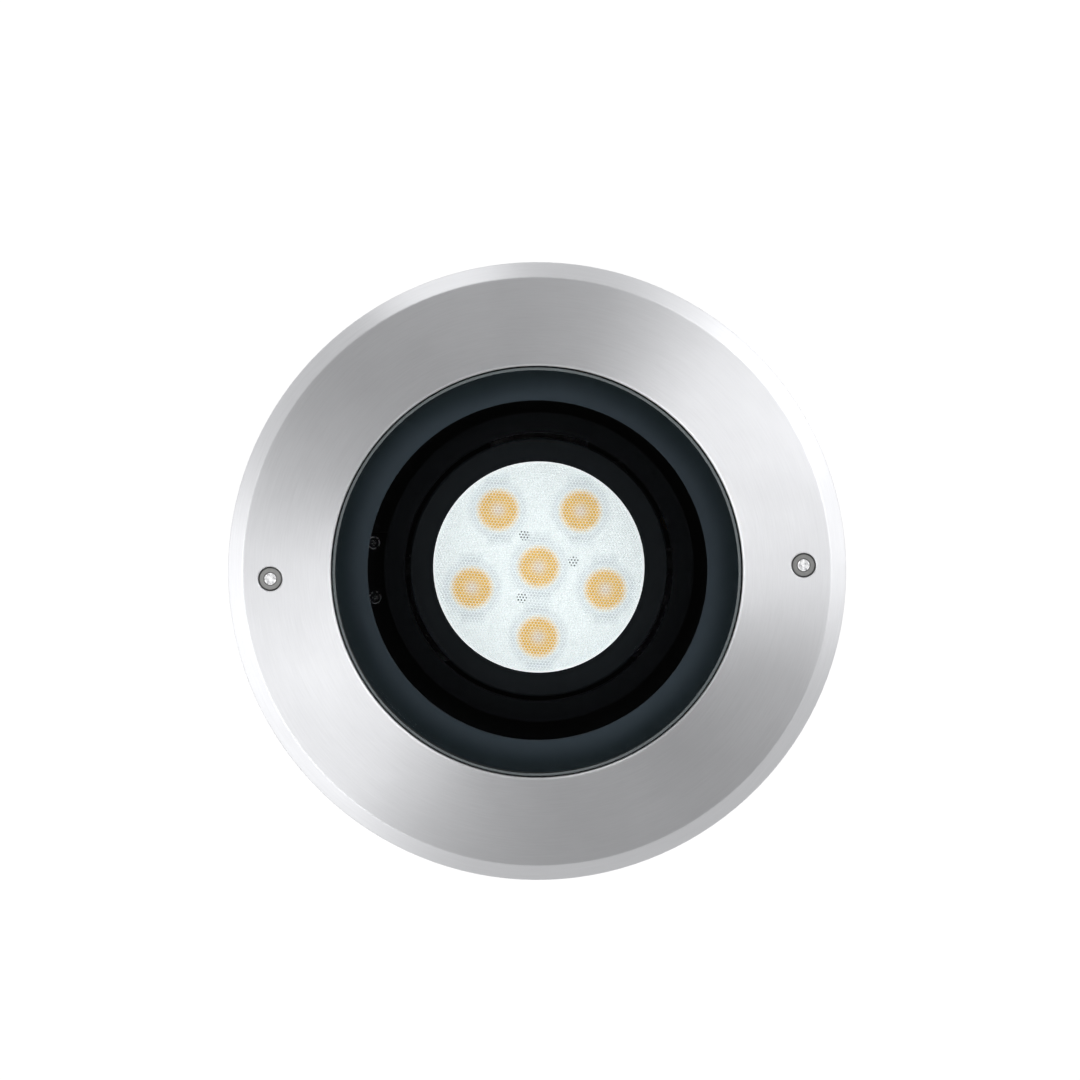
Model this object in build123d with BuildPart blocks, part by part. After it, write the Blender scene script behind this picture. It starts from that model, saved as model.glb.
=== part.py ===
from build123d import *
from math import cos, radians, sin, sqrt
import os

# In-ground well light. A bevelled stainless cover ring holds a stepped glass flush with the ground.
# Under it a die-cast pot carries a turntable, in whose ears a six-LED lamp head tilts. The pot hangs in a
# moulded sleeve that stays buried: a base plate, a tube with two conduit entries, and a collar.
# Millimetres, +Z up, origin at the middle of the sleeve's underside, cover screws on the X axis.

# ---------------------------------------------------------------- driving sizes

# Whole light
total_height = 240.0
cover_diameter = 220.0

# Cover ring
cover_thickness = 6.0
cover_opening_diameter = 146.4
bevel_width = 5.5
bevel_drop = 3.5
opening_edge_break = 0.5
cover_screw_spacing = 189.4

# Cover screws, M5 with a low round head
cover_head_radius = 4.25
cover_head_height = 3.4
cover_head_chamfer = 0.4
counterbore_gap = 0.125
cover_shank_radius = 2.45
cover_screw_length = 20.0
counterbore_depth = 3.8
socket_radius = 1.7
socket_lobe_radius = 0.42
socket_depth = 1.3
socket_pin_radius = 0.55

# Glass, its gasket and the ring that clamps them
glass_recess = 0.2
glass_gap = 0.55
glass_edge_chamfer = 1.0
glass_flange_thickness = 6.0
glass_step = 6.35
gasket_leg = 1.2
gasket_web = 1.6
clamp_ring_thickness = 2.5
clamp_ring_gap = 1.55
clamp_screw_count = 6
clamp_screw_length = 8.0
mask_thickness = 1.0
mask_opening_diameter = 122.2

# Pot
pot_flange_rim = 8.0
seat_web = 6.0
pot_bore_radius = 70.0
pot_foot_radius = 62.0
pot_wall = 4.0
pot_floor_thickness = 5.0
pot_depth = 121.9
pot_rib_count = 12
pot_rib_thickness = 3.0
pot_rib_radius = 80.0
pot_rib_shortfall = 8.0

# Lamp head
lens_depth = 49.7
lens_view_diameter = 77.8
lens_lap = 1.6
lens_thickness = 2.8
bezel_diameter = 95.2
bezel_lip = 1.5
bezel_chamfer = 0.6
bezel_skirt_depth = 4.2
cup_wall = 3.8
cup_base_thickness = 6.0
board_radius = 39.0
board_thickness = 1.6
pad_thickness = 0.5
optic_height = 19.4
optic_top_radius = 11.6
optic_foot_radius = 4.4
optic_foot_flange = 1.4
optic_foot_lip = 1.2
led_dome_gap = 1.0
led_ring_radius = 25.8
led_ring_count = 5
led_clocking = 267.9
led_width = 3.6
led_body_height = 0.8
led_dome_radius = 1.5
board_screw_radius = 12.9
board_screw_angles = (8.0, 113.5, 239.5)
board_screw_grip = 4.0
fin_count = 11
fin_pitch = 7.0
fin_thickness = 2.0
fin_length = 21.0
fin_reach = 40.0
lead_hole_place = (8.1, -12.0)
lead_hole_radius = 4.5
lead_hole_surround = 4.0
grommet_bore_radius = 2.25
grommet_lip = 1.8
grommet_lip_thickness = 1.6

# Turntable and tilt pivot
turntable_radius = 57.0
turntable_opening_radius = 49.3
turntable_wall = 2.0
turntable_plate = 3.0
turntable_drop = 0.5
pivot_below_lens = 9.3
pivot_boss_radius = 4.5
pivot_shoulder_radius = 2.0
pivot_head_radius = 3.5
pivot_head_height = 2.0
pivot_thread_length = 6.0
washer_thickness = 0.8
ear_thickness = 2.5
ear_half_width = 14.0
ear_web = 2.5
ear_side_gap = 2.9
window_side_gap = 1.0
window_head_gap = 1.5
bracket_reach = 65.0
bracket_bend_radius = 2.0
bracket_top_radius = 4.0
bracket_corner_radius = 2.0
bracket_screw_radius = 61.3
bracket_screw_spacing = 20.4
bracket_head_radius = 2.35
snap_ring_thickness = 1.5
snap_ring_inner_radius = 66.5
snap_groove_depth = 1.5
snap_ring_mouth = 12.0

# Driver and wiring inside the pot
tray_width = 104.0
tray_depth = 42.0
tray_thickness = 1.5
tray_radius = 60.5
tray_post_height = 2.0
tray_post_radius = 3.9
tray_centre_y = -18.0
tray_screw_inset_x = 5.0
tray_screw_inset_y = 8.0
tray_screw_grip = 4.5
driver_length = 76.0
driver_width = 40.0
driver_height = 22.0
driver_tab = 6.0
driver_tab_width = 12.0
driver_tab_thickness = 3.0
driver_tab_corner = 2.0
driver_corner_radius = 3.0
driver_edge_radius = 1.5
terminal_plate_y = 54.0
terminal_plate_height = 30.0
terminal_plate_width = 38.0
terminal_plate_thickness = 1.5
terminal_foot_depth = 12.0
terminal_length = 36.0
terminal_width = 12.0
terminal_height = 18.0
terminal_lift = 8.0
terminal_screw_inset = 4.0
terminal_edge_radius = 1.0
wire_port_radius = 2.0
wire_port_depth = 5.0
foot_screw_x = 10.0
foot_screw_shift = 1.0
foot_screw_grip = 3.0
wire_count = 3
wire_pitch = 8.0
wire_radius = 1.1
wire_height = 12.0
wire_sag = 4.0
earth_place = (50.0, 14.0)
earth_boss_radius = 4.5
earth_boss_height = 5.0

# Cable entries in the pot's floor, M20 thread, and the vent, M12 thread
entry_thread_radius = 9.9
entry_x = 24.0
entry_y = 24.0
entry_hex = 24.0
entry_hex_height = 6.0
entry_locknut_hex = 27.0
entry_locknut_height = 4.5
entry_thread_length = 12.0
entry_seal_thickness = 1.0
cable_hole_radius = 6.2
gland_skirt_radius = 10.4
gland_skirt_length = 10.0
gland_nut_length = 16.0
gland_nut_overlap = 6.0
gland_nut_dome = 4.0
gland_nut_edge = 3.0
gland_nut_end = 3.2
gland_seal_radius = 8.1
gland_seal_bore = 5.2
gland_seal_length = 10.8
vent_place = (0.0, -30.0)
vent_thread_radius = 5.9
vent_head_radius = 8.0
vent_head_height = 7.0
vent_edge_radius = 1.0
vent_bore_radius = 1.5
vent_cap_thickness = 2.0
vent_port_radius = 0.8
plug_socket_hex = 8.0
plug_socket_depth = 5.0

# Buried sleeve
rim_gasket_thickness = 1.5
rim_gasket_inset = 1.0
cover_overhang = 5.0
collar_thickness = 4.0
collar_height = 20.0
collar_rim = 3.0
ledge_thickness = 4.0
socket_depth_on_tube = 13.0
sleeve_wall = 3.4
sleeve_floor = 4.0
pot_to_collar_gap = 0.6
rib_to_sleeve_gap = 2.6
chamber_inner_radius = 76.6
chamber_height = 66.0
shoulder_height = 10.0
base_flange_radius = 107.0
base_hole_inset = 7.0
base_hole_radius = 2.75
base_hole_count = 4
foot_flange_height = 6.0
foot_screw_circle_radius = 86.5
foot_screw_count = 4
foot_screw_length = 9.0
anchor_height = 118.0
anchor_thickness = 3.0
anchor_radius = 98.0
sleeve_rib_count = 8
sleeve_rib_thickness = 3.0
sleeve_rib_radius = 92.0
collar_rib_count = 16
collar_rib_thickness = 2.4
collar_rib_inset = 1.0
insert_radius = 3.8
insert_length = 12.0
insert_below_top = 0.5
insert_chamfer = 0.3
insert_boss_radius = 7.0
drain_hole_radius = 6.0
drain_hole_circle_radius = 50.0
drain_hole_count = 8
centre_drain_radius = 10.0

# Conduit entries, for 25 mm conduit
conduit_radius = 12.5
conduit_fit = 0.1
conduit_axis_height = 36.0
conduit_socket_depth = 21.0
adaptor_wall = 2.8
adaptor_flange_radius = 18.0
adaptor_flange_thickness = 3.0
adaptor_thread_radius = 12.0
adaptor_stop = 2.1
adaptor_nut_thickness = 6.0
adaptor_nut_hex = 32.0
adaptor_thread_end = 2.0
pad_half_width = 20.0
pad_outer_face = 84.0
pad_inner_face = 74.0

# Clearances that are shared
thread_gap = 0.05
screw_gap = 0.3
running_gap = 0.05
slip_gap = 0.3
soft_gap = 0.2
hole_end_gap = 0.5

# Small screws, by thread
m3_shank = 1.45
m3_head = 2.75
m3_head_height = 1.7
m4_shank = 1.95
m4_head = 3.5
m4_head_height = 2.4
m4_flat_head = 3.8
pan_head_edge = 0.45
recess_width = 0.7
recess_reach = 1.1
recess_depth = 1.0

# ---------------------------------------------------------------- derived sizes

seated = (Align.CENTER, Align.CENTER, Align.MIN)
hanging = (Align.CENTER, Align.CENTER, Align.MAX)

# Levels, from the face down
cover_top = total_height
cover_bottom = cover_top - cover_thickness
collar_top = cover_bottom - rim_gasket_thickness
clamp_top = cover_bottom - soft_gap
pot_top = clamp_top - clamp_ring_thickness
glass_top = cover_top - glass_recess
glass_flange_top = pot_top - gasket_leg
glass_bottom = glass_flange_top - glass_flange_thickness
seat_floor = glass_bottom - gasket_leg
pot_flange_bottom = seat_floor - seat_web
pot_bottom = pot_flange_bottom - pot_depth
pot_floor = pot_bottom + pot_floor_thickness

# Radii, from the opening outwards
cover_radius = cover_diameter / 2
opening_radius = cover_opening_diameter / 2
cover_screw_radius = cover_screw_spacing / 2
counterbore_radius = cover_head_radius + counterbore_gap
glass_radius = opening_radius - glass_gap
glass_flange_radius = glass_radius + glass_step
gasket_inner_radius = glass_flange_radius + soft_gap
gasket_radius = gasket_inner_radius + gasket_web
seat_radius = gasket_radius + soft_gap
pot_flange_radius = seat_radius + pot_flange_rim
clamp_inner_radius = glass_radius + clamp_ring_gap
clamp_radius = pot_flange_radius - 2 * soft_gap
clamp_screw_circle = (seat_radius + clamp_radius) / 2
mask_opening_radius = mask_opening_diameter / 2
gasket_foot_radius = clamp_inner_radius + gasket_web
mask_radius = gasket_foot_radius - 2 * soft_gap

# Lamp head
lens_top = cover_top - lens_depth
lens_bottom = lens_top - lens_thickness
lens_view_radius = lens_view_diameter / 2
lens_radius = lens_view_radius + lens_lap
cup_seat_radius = lens_radius + slip_gap
cup_radius = cup_seat_radius + cup_wall
cup_bore = board_radius + slip_gap
cup_top = lens_top - soft_gap
bezel_radius = bezel_diameter / 2
bezel_top = lens_top + bezel_lip
board_top = lens_bottom - optic_height - soft_gap
board_bottom = board_top - board_thickness
cup_floor = board_bottom - pad_thickness
cup_bottom = cup_floor - cup_base_thickness
pivot_height = lens_top - pivot_below_lens

# Turntable
turntable_flange_top = pivot_height - pivot_head_radius - slip_gap - ear_thickness
turntable_bottom = turntable_flange_top - turntable_plate
ledge_height = turntable_bottom - soft_gap
turntable_top = bezel_top - turntable_drop
turntable_inner_radius = turntable_radius - turntable_wall
turntable_flange_radius = pot_bore_radius - slip_gap
snap_ring_bottom = turntable_flange_top + soft_gap
snap_ring_radius = pot_bore_radius + snap_groove_depth
ear_face = bezel_radius + ear_side_gap
boss_face = ear_face - washer_thickness - 2 * running_gap
window_half_width = ear_half_width + window_side_gap
window_top = pivot_height + pivot_head_radius + window_head_gap

# Pot floor
tray_bottom = pot_floor + tray_post_height
tray_top = tray_bottom + tray_thickness
tray_screw_x = tray_width / 2 - tray_screw_inset_x
tray_screw_y = tray_depth / 2 - tray_screw_inset_y
tray_screws_at = [
    (x, tray_centre_y + y) for x in (-tray_screw_x, tray_screw_x) for y in (-tray_screw_y, tray_screw_y)
]
tray_hole_bottom = tray_bottom - tray_screw_grip - hole_end_gap
driver_screw_x = driver_length / 2 + driver_tab / 2
terminal_face_y = terminal_plate_y - terminal_width
terminal_screw_x = terminal_length / 2 - terminal_screw_inset
foot_screw_y = terminal_plate_y - terminal_foot_depth / 2 - foot_screw_shift
foot_hole_bottom = pot_floor - foot_screw_grip - hole_end_gap
entries = ((-entry_x, entry_y), (entry_x, entry_y))
seal_bottom = pot_bottom - entry_seal_thickness
gland_hex_bottom = seal_bottom - entry_hex_height
gland_skirt_bottom = gland_hex_bottom - gland_skirt_length
gland_nut_top = gland_skirt_bottom + gland_nut_overlap
gland_nut_bottom = gland_nut_top - gland_nut_length
gland_seal_bottom = gland_nut_bottom + gland_nut_end
gland_seal_top = gland_seal_bottom + gland_seal_length

# Sleeve
collar_inner_radius = pot_flange_radius + pot_to_collar_gap
collar_radius = cover_radius - cover_overhang
pocket_radius = collar_inner_radius + sleeve_wall
sleeve_inner_radius = pot_rib_radius + rib_to_sleeve_gap
sleeve_radius = sleeve_inner_radius + sleeve_wall
chamber_radius = chamber_inner_radius + sleeve_wall
collar_bottom = collar_top - collar_height
tube_top = pot_flange_bottom - ledge_thickness
tube_socket_bottom = tube_top - socket_depth_on_tube
tube_socket_radius = sleeve_radius + soft_gap
sleeve_rib_top = tube_socket_bottom - soft_gap
insert_top = collar_top - insert_below_top
base_hole_circle_radius = base_flange_radius - base_hole_inset
base_hole_clocking = 180.0 / base_hole_count
sleeve_rib_clocking = 180.0 / sleeve_rib_count
collar_rib_clocking = 180.0 / collar_rib_count
collar_rib_circle = (pocket_radius + collar_radius) / 2 - collar_rib_inset
sleeve_rib_circle = (chamber_inner_radius + sleeve_rib_radius) / 2

# Conduit entries, measured out along the Y axis
adaptor_bore = conduit_radius + conduit_fit
adaptor_radius = adaptor_bore + adaptor_wall
adaptor_through_radius = adaptor_bore - adaptor_stop
adaptor_nut_face = pad_inner_face - adaptor_nut_thickness
adaptor_end = adaptor_nut_face - adaptor_thread_end
adaptor_mouth = pad_outer_face + adaptor_flange_thickness + conduit_socket_depth


# ---------------------------------------------------------------- repeated shapes


def turned(*corners, mode=Mode.ADD):
    """Revolves a closed outline of (radius, height) corners about the Z axis."""
    with BuildSketch(Plane.XZ) as outline:
        with BuildLine():
            Polyline(*corners, close=True)
        make_face()
    revolve(outline.sketch, axis=Axis.Z, mode=mode)


def ring(outer, inner, bottom, top, mode=Mode.ADD):
    """Flat ring between two radii and two levels."""
    with BuildSketch(Plane.XY.offset(bottom)) as outline:
        Circle(outer)
        Circle(inner, mode=Mode.SUBTRACT)
    extrude(outline.sketch, amount=top - bottom, mode=mode)


def hexagon(places, across_flats, bottom, top, mode=Mode.ADD):
    """Hexagonal prisms at the places, between two levels."""
    with BuildSketch(Plane.XY.offset(bottom)) as outline:
        with Locations(*places):
            RegularPolygon(across_flats / 2, 6, major_radius=False)
    extrude(outline.sketch, amount=top - bottom, mode=mode)


def round_bar(places, radius, bottom, top, mode=Mode.ADD):
    """Round bars or holes at the places, between two levels."""
    with BuildSketch(Plane.XY.offset(bottom)) as outline:
        with Locations(*places):
            Circle(radius)
    extrude(outline.sketch, amount=top - bottom, mode=mode)


def screws_down(places, seat, head, head_height, shank, length):
    """Cross-head screws whose heads stand on a level and whose shanks point down."""
    edge_start = seat + head_height - pan_head_edge
    round_bar(places, head, seat, edge_start)
    with Locations(*[(x, y, edge_start) for x, y in places]):
        Cone(head, head - pan_head_edge, pan_head_edge, align=seated)
    round_bar(places, shank, seat - length, seat)
    with BuildSketch(Plane.XY.offset(seat + head_height)) as cross:
        with Locations(*places):
            Rectangle(head * recess_reach, recess_width)
            Rectangle(recess_width, head * recess_reach)
    extrude(cross.sketch, amount=-recess_depth, mode=Mode.SUBTRACT)


def polar(radius, angle):
    """Place on a circle about the Z axis."""
    return (radius * cos(radians(angle)), radius * sin(radians(angle)))


cover_screws_at = [(-cover_screw_radius, 0.0), (cover_screw_radius, 0.0)]
clamp_screws_at = [polar(clamp_screw_circle, 360 / clamp_screw_count * n) for n in range(clamp_screw_count)]
board_screws_at = [polar(board_screw_radius, angle) for angle in board_screw_angles]
leds_at = [(0.0, 0.0)]
leds_at += [polar(led_ring_radius, led_clocking + 360 / led_ring_count * n) for n in range(led_ring_count)]
bracket_screws_at = [(-bracket_screw_radius, y * bracket_screw_spacing / 2) for y in (-1, 1)]
driver_screws_at = [(-driver_screw_x, tray_centre_y), (driver_screw_x, tray_centre_y)]
foot_screws_at = [(-foot_screw_x, foot_screw_y), (foot_screw_x, foot_screw_y)]
foot_flange_screws_at = [
    polar(foot_screw_circle_radius, 360 / foot_screw_count * n) for n in range(foot_screw_count)
]
wires_at = [wire_pitch * (n - (wire_count - 1) / 2) for n in range(wire_count)]


# ---------------------------------------------------------------- face of the light

with BuildPart() as cover_ring:
    turned(
        (opening_radius, cover_bottom),
        (cover_radius, cover_bottom),
        (cover_radius, cover_top - bevel_drop),
        (cover_radius - bevel_width, cover_top),
        (opening_radius + opening_edge_break, cover_top),
        (opening_radius, cover_top - opening_edge_break),
    )
    round_bar(cover_screws_at, counterbore_radius, cover_top - counterbore_depth, cover_top, Mode.SUBTRACT)
    round_bar(cover_screws_at, cover_shank_radius + screw_gap, cover_bottom, cover_top, Mode.SUBTRACT)

with BuildPart() as cover_screws:
    screw_seat = cover_top - counterbore_depth
    screw_face = screw_seat + cover_head_height
    round_bar(cover_screws_at, cover_head_radius, screw_seat, screw_face)
    chamfer(cover_screws.edges().filter_by(GeomType.CIRCLE).group_by(Axis.Z)[-1], cover_head_chamfer)
    round_bar(cover_screws_at, cover_shank_radius, screw_seat - cover_screw_length, screw_seat)
    with BuildSketch(Plane.XY.offset(screw_face)):
        with Locations(*cover_screws_at):
            Circle(socket_radius)
            with PolarLocations(socket_radius, 6):
                Circle(socket_lobe_radius)
            Circle(socket_pin_radius, mode=Mode.SUBTRACT)
    extrude(amount=-socket_depth, mode=Mode.SUBTRACT)

with BuildPart() as screw_inserts:
    round_bar(cover_screws_at, insert_radius, insert_top - insert_length, insert_top)
    chamfer(screw_inserts.edges().filter_by(GeomType.CIRCLE), insert_chamfer)
    round_bar(
        cover_screws_at,
        cover_shank_radius + thread_gap,
        insert_top - insert_length,
        insert_top,
        Mode.SUBTRACT,
    )

with BuildPart() as rim_gasket:
    ring(collar_radius - rim_gasket_inset, collar_inner_radius + rim_gasket_inset, collar_top, cover_bottom)
    round_bar(cover_screws_at, insert_radius, collar_top, cover_bottom, Mode.SUBTRACT)

with BuildPart() as glass:
    turned(
        (0, glass_bottom),
        (glass_flange_radius, glass_bottom),
        (glass_flange_radius, glass_flange_top),
        (glass_radius, glass_flange_top),
        (glass_radius, glass_top - glass_edge_chamfer),
        (glass_radius - glass_edge_chamfer, glass_top),
        (0, glass_top),
    )

with BuildPart() as glass_gasket:
    turned(
        (gasket_foot_radius, seat_floor),
        (gasket_radius, seat_floor),
        (gasket_radius, pot_top),
        (clamp_inner_radius + 2 * soft_gap, pot_top),
        (clamp_inner_radius + 2 * soft_gap, glass_flange_top),
        (gasket_inner_radius, glass_flange_top),
        (gasket_inner_radius, glass_bottom),
        (gasket_foot_radius, glass_bottom),
    )

with BuildPart() as mask_ring:
    ring(mask_radius, mask_opening_radius, seat_floor, seat_floor + mask_thickness)

with BuildPart() as clamp_ring:
    ring(clamp_radius, clamp_inner_radius, pot_top, clamp_top)
    with Locations(*[(x, y, clamp_top) for x, y in clamp_screws_at]):
        CounterSinkHole(m3_shank + screw_gap, m3_head + running_gap, counter_sink_angle=90)

with BuildPart() as clamp_screws:
    with Locations(*[(x, y, clamp_top) for x, y in clamp_screws_at]):
        Cone(m3_shank, m3_head, m3_head - m3_shank, align=hanging)
        Cylinder(m3_shank, clamp_screw_length, align=hanging)
    with BuildSketch(Plane.XY.offset(clamp_top)):
        with Locations(*clamp_screws_at):
            RegularPolygon(m3_shank, 6)
    extrude(amount=-recess_depth, mode=Mode.SUBTRACT)

# ---------------------------------------------------------------- pot

with BuildPart() as lamp_housing:
    turned(
        (0, pot_bottom),
        (pot_foot_radius + pot_wall, pot_bottom),
        (pot_foot_radius + pot_wall, ledge_height - pot_wall),
        (pot_bore_radius + pot_wall, ledge_height),
        (pot_bore_radius + pot_wall, pot_flange_bottom),
        (pot_flange_radius, pot_flange_bottom),
        (pot_flange_radius, pot_top),
        (0, pot_top),
    )
    with BuildSketch(Plane.XY.offset(pot_bottom + pot_rib_shortfall)):
        with PolarLocations((pot_foot_radius + pot_rib_radius) / 2, pot_rib_count):
            Rectangle(pot_rib_radius - pot_foot_radius, pot_rib_thickness)
    extrude(amount=pot_flange_bottom - pot_bottom - 2 * pot_rib_shortfall)
    turned(
        (0, pot_floor),
        (pot_foot_radius, pot_floor),
        (pot_foot_radius, ledge_height),
        (pot_bore_radius, ledge_height),
        (pot_bore_radius, seat_floor),
        (seat_radius, seat_floor),
        (seat_radius, pot_top),
        (0, pot_top),
        mode=Mode.SUBTRACT,
    )
    ring(
        snap_ring_radius + running_gap,
        pot_bore_radius - snap_groove_depth,
        snap_ring_bottom - running_gap,
        snap_ring_bottom + snap_ring_thickness + running_gap,
        Mode.SUBTRACT,
    )
    round_bar(clamp_screws_at, m3_shank + thread_gap, pot_top - clamp_screw_length, pot_top, Mode.SUBTRACT)
    round_bar(tray_screws_at, tray_post_radius, pot_floor, tray_bottom)
    round_bar(tray_screws_at, m4_shank + thread_gap, tray_hole_bottom, tray_bottom, Mode.SUBTRACT)
    round_bar([earth_place], earth_boss_radius, pot_floor, pot_floor + earth_boss_height)
    round_bar(
        [earth_place],
        m4_shank + thread_gap,
        pot_floor - hole_end_gap,
        pot_floor + earth_boss_height,
        Mode.SUBTRACT,
    )
    round_bar(foot_screws_at, m3_shank + thread_gap, foot_hole_bottom, pot_floor, Mode.SUBTRACT)
    round_bar(entries, entry_thread_radius + screw_gap, pot_bottom, pot_floor, Mode.SUBTRACT)
    round_bar([vent_place], vent_thread_radius + thread_gap, pot_bottom, pot_floor, Mode.SUBTRACT)

# Sprung C-ring in the pot's groove, open over the ears' side so that it can be squeezed
with BuildPart() as snap_ring:
    ring(snap_ring_radius, snap_ring_inner_radius, snap_ring_bottom, snap_ring_bottom + snap_ring_thickness)
    with BuildSketch(Plane.XY.offset(snap_ring_bottom)):
        with Locations((0, snap_ring_radius)):
            Rectangle(snap_ring_mouth, 3 * (snap_ring_radius - snap_ring_inner_radius))
    extrude(amount=snap_ring_thickness, mode=Mode.SUBTRACT)

# ---------------------------------------------------------------- turntable and tilt bracket

with BuildPart() as turntable:
    turned(
        (turntable_inner_radius, turntable_bottom),
        (turntable_flange_radius, turntable_bottom),
        (turntable_flange_radius, turntable_flange_top),
        (turntable_radius, turntable_flange_top),
        (turntable_radius, turntable_top),
        (turntable_opening_radius, turntable_top),
        (turntable_opening_radius, turntable_top - turntable_plate),
        (turntable_inner_radius, turntable_top - turntable_plate),
    )
    # fixed ear on the +X side, joined to the skirt by its two edges and to the plate above
    with BuildSketch(Plane.XY.offset(turntable_bottom)):
        Circle(turntable_inner_radius + turntable_wall / 2)
        with Locations((ear_face, 0)):
            Rectangle(
                ear_thickness,
                2 * (ear_half_width + ear_web),
                align=(Align.MIN, Align.CENTER),
                mode=Mode.INTERSECT,
            )
    extrude(amount=turntable_top - turntable_bottom - turntable_plate / 2)
    with BuildSketch(Plane.YZ.offset(ear_face)):
        with Locations((0, pivot_height)):
            Circle(pivot_shoulder_radius + running_gap)
    extrude(amount=ear_thickness, mode=Mode.SUBTRACT)
    with BuildSketch(Plane.YZ.offset(ear_face + ear_thickness)):
        with Locations((0, pivot_height)):
            Circle(pivot_head_radius + 2 * slip_gap)
    extrude(amount=turntable_radius - ear_face, mode=Mode.SUBTRACT)
    # window in the skirt on the -X side, through which the tilt bracket's foot passes
    with BuildSketch(Plane.XY.offset(turntable_flange_top)):
        with Locations((-turntable_radius, 0)):
            Rectangle(2 * (turntable_radius - ear_face), 2 * window_half_width)
    extrude(amount=window_top - turntable_flange_top, mode=Mode.SUBTRACT)
    round_bar(
        bracket_screws_at, m3_shank + thread_gap, turntable_bottom, turntable_flange_top, Mode.SUBTRACT
    )

with BuildPart() as tilt_bracket:
    plate_top = turntable_top - turntable_plate - soft_gap
    with BuildSketch(Plane.XZ.offset(-ear_half_width)):
        with BuildLine():
            Polyline(
                (-ear_face, turntable_flange_top),
                (-ear_face, plate_top),
                (-ear_face - ear_thickness, plate_top),
                (-ear_face - ear_thickness, turntable_flange_top + ear_thickness),
                (-bracket_reach, turntable_flange_top + ear_thickness),
                (-bracket_reach, turntable_flange_top),
                close=True,
            )
        make_face()
    extrude(amount=2 * ear_half_width)
    bend = tilt_bracket.edges().filter_by(Axis.Y).sort_by(Axis.X)[-2:].sort_by(Axis.Z)[0]
    fillet(bend, bracket_bend_radius)
    fillet(tilt_bracket.edges().filter_by(Axis.X).group_by(Axis.Z)[-1], bracket_top_radius)
    fillet(tilt_bracket.edges().filter_by(Axis.Z).group_by(Axis.X)[0], bracket_corner_radius)
    round_bar(
        bracket_screws_at,
        m3_shank + screw_gap,
        turntable_flange_top,
        turntable_flange_top + ear_thickness,
        Mode.SUBTRACT,
    )
    with BuildSketch(Plane.YZ.offset(-ear_face - ear_thickness)):
        with Locations((0, pivot_height)):
            Circle(pivot_shoulder_radius + running_gap)
    extrude(amount=ear_thickness, mode=Mode.SUBTRACT)

with BuildPart() as bracket_screws:
    screws_down(
        bracket_screws_at,
        turntable_flange_top + ear_thickness,
        bracket_head_radius,
        m3_head_height,
        m3_shank,
        ear_thickness + turntable_plate,
    )

# Shoulder screws: thread in the lamp head's boss, plain shoulder in the ear, head outside it
with BuildPart() as pivot_screws:
    shoulder_end = ear_face + ear_thickness + 2 * running_gap
    for side in (1, -1):
        with BuildSketch(Plane.YZ.offset(side * (boss_face - pivot_thread_length))):
            with Locations((0, pivot_height)):
                Circle(m3_shank)
        extrude(amount=side * pivot_thread_length)
        with BuildSketch(Plane.YZ.offset(side * boss_face)):
            with Locations((0, pivot_height)):
                Circle(pivot_shoulder_radius)
        extrude(amount=side * (shoulder_end - boss_face))
        with BuildSketch(Plane.YZ.offset(side * shoulder_end)):
            with Locations((0, pivot_height)):
                Circle(pivot_head_radius)
        extrude(amount=side * pivot_head_height)
        with BuildSketch(Plane.YZ.offset(side * (shoulder_end + pivot_head_height))):
            with Locations((0, pivot_height)):
                RegularPolygon(m3_shank, 6)
        extrude(amount=-side * recess_depth, mode=Mode.SUBTRACT)

with BuildPart() as pivot_washers:
    for side in (1, -1):
        with BuildSketch(Plane.YZ.offset(side * (boss_face + running_gap))):
            with Locations((0, pivot_height)):
                Circle(pivot_boss_radius)
                Circle(pivot_shoulder_radius + 2 * running_gap, mode=Mode.SUBTRACT)
        extrude(amount=side * washer_thickness)

# ---------------------------------------------------------------- lamp head

with BuildPart() as heat_sink:
    fin_bottom = cup_bottom - fin_length
    with BuildSketch(Plane.XY.offset(fin_bottom)):
        with GridLocations(fin_pitch, fin_pitch, 1, fin_count):
            Rectangle(2 * fin_reach, fin_thickness)
        Circle(fin_reach, mode=Mode.INTERSECT)
        with Locations(lead_hole_place):
            Circle(lead_hole_radius + lead_hole_surround, mode=Mode.SUBTRACT)
    extrude(amount=fin_length)
    round_bar([(0, 0)], cup_radius, cup_bottom, cup_top)
    with BuildSketch(Plane.YZ.offset(-boss_face)):
        with Locations((0, pivot_height)):
            Circle(pivot_boss_radius)
    extrude(amount=2 * boss_face)
    turned(
        (0, cup_floor),
        (cup_bore, cup_floor),
        (cup_bore, lens_bottom),
        (cup_seat_radius, lens_bottom),
        (cup_seat_radius, cup_top),
        (0, cup_top),
        mode=Mode.SUBTRACT,
    )
    for side in (1, -1):
        with BuildSketch(Plane.YZ.offset(side * (boss_face - pivot_thread_length))):
            with Locations((0, pivot_height)):
                Circle(m3_shank + thread_gap)
        extrude(amount=side * pivot_thread_length, mode=Mode.SUBTRACT)
    board_hole_bottom = cup_floor - board_screw_grip - soft_gap
    round_bar(board_screws_at, m3_shank + thread_gap, board_hole_bottom, cup_floor, Mode.SUBTRACT)
    round_bar([lead_hole_place], lead_hole_radius, cup_bottom, cup_floor, Mode.SUBTRACT)

with BuildPart() as lead_grommet:
    round_bar([lead_hole_place], lead_hole_radius - running_gap, cup_bottom, cup_floor - soft_gap)
    grommet_bottom = cup_bottom - grommet_lip_thickness
    round_bar([lead_hole_place], lead_hole_radius + grommet_lip, grommet_bottom, cup_bottom)
    round_bar([lead_hole_place], grommet_bore_radius, grommet_bottom, cup_floor, Mode.SUBTRACT)

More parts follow.
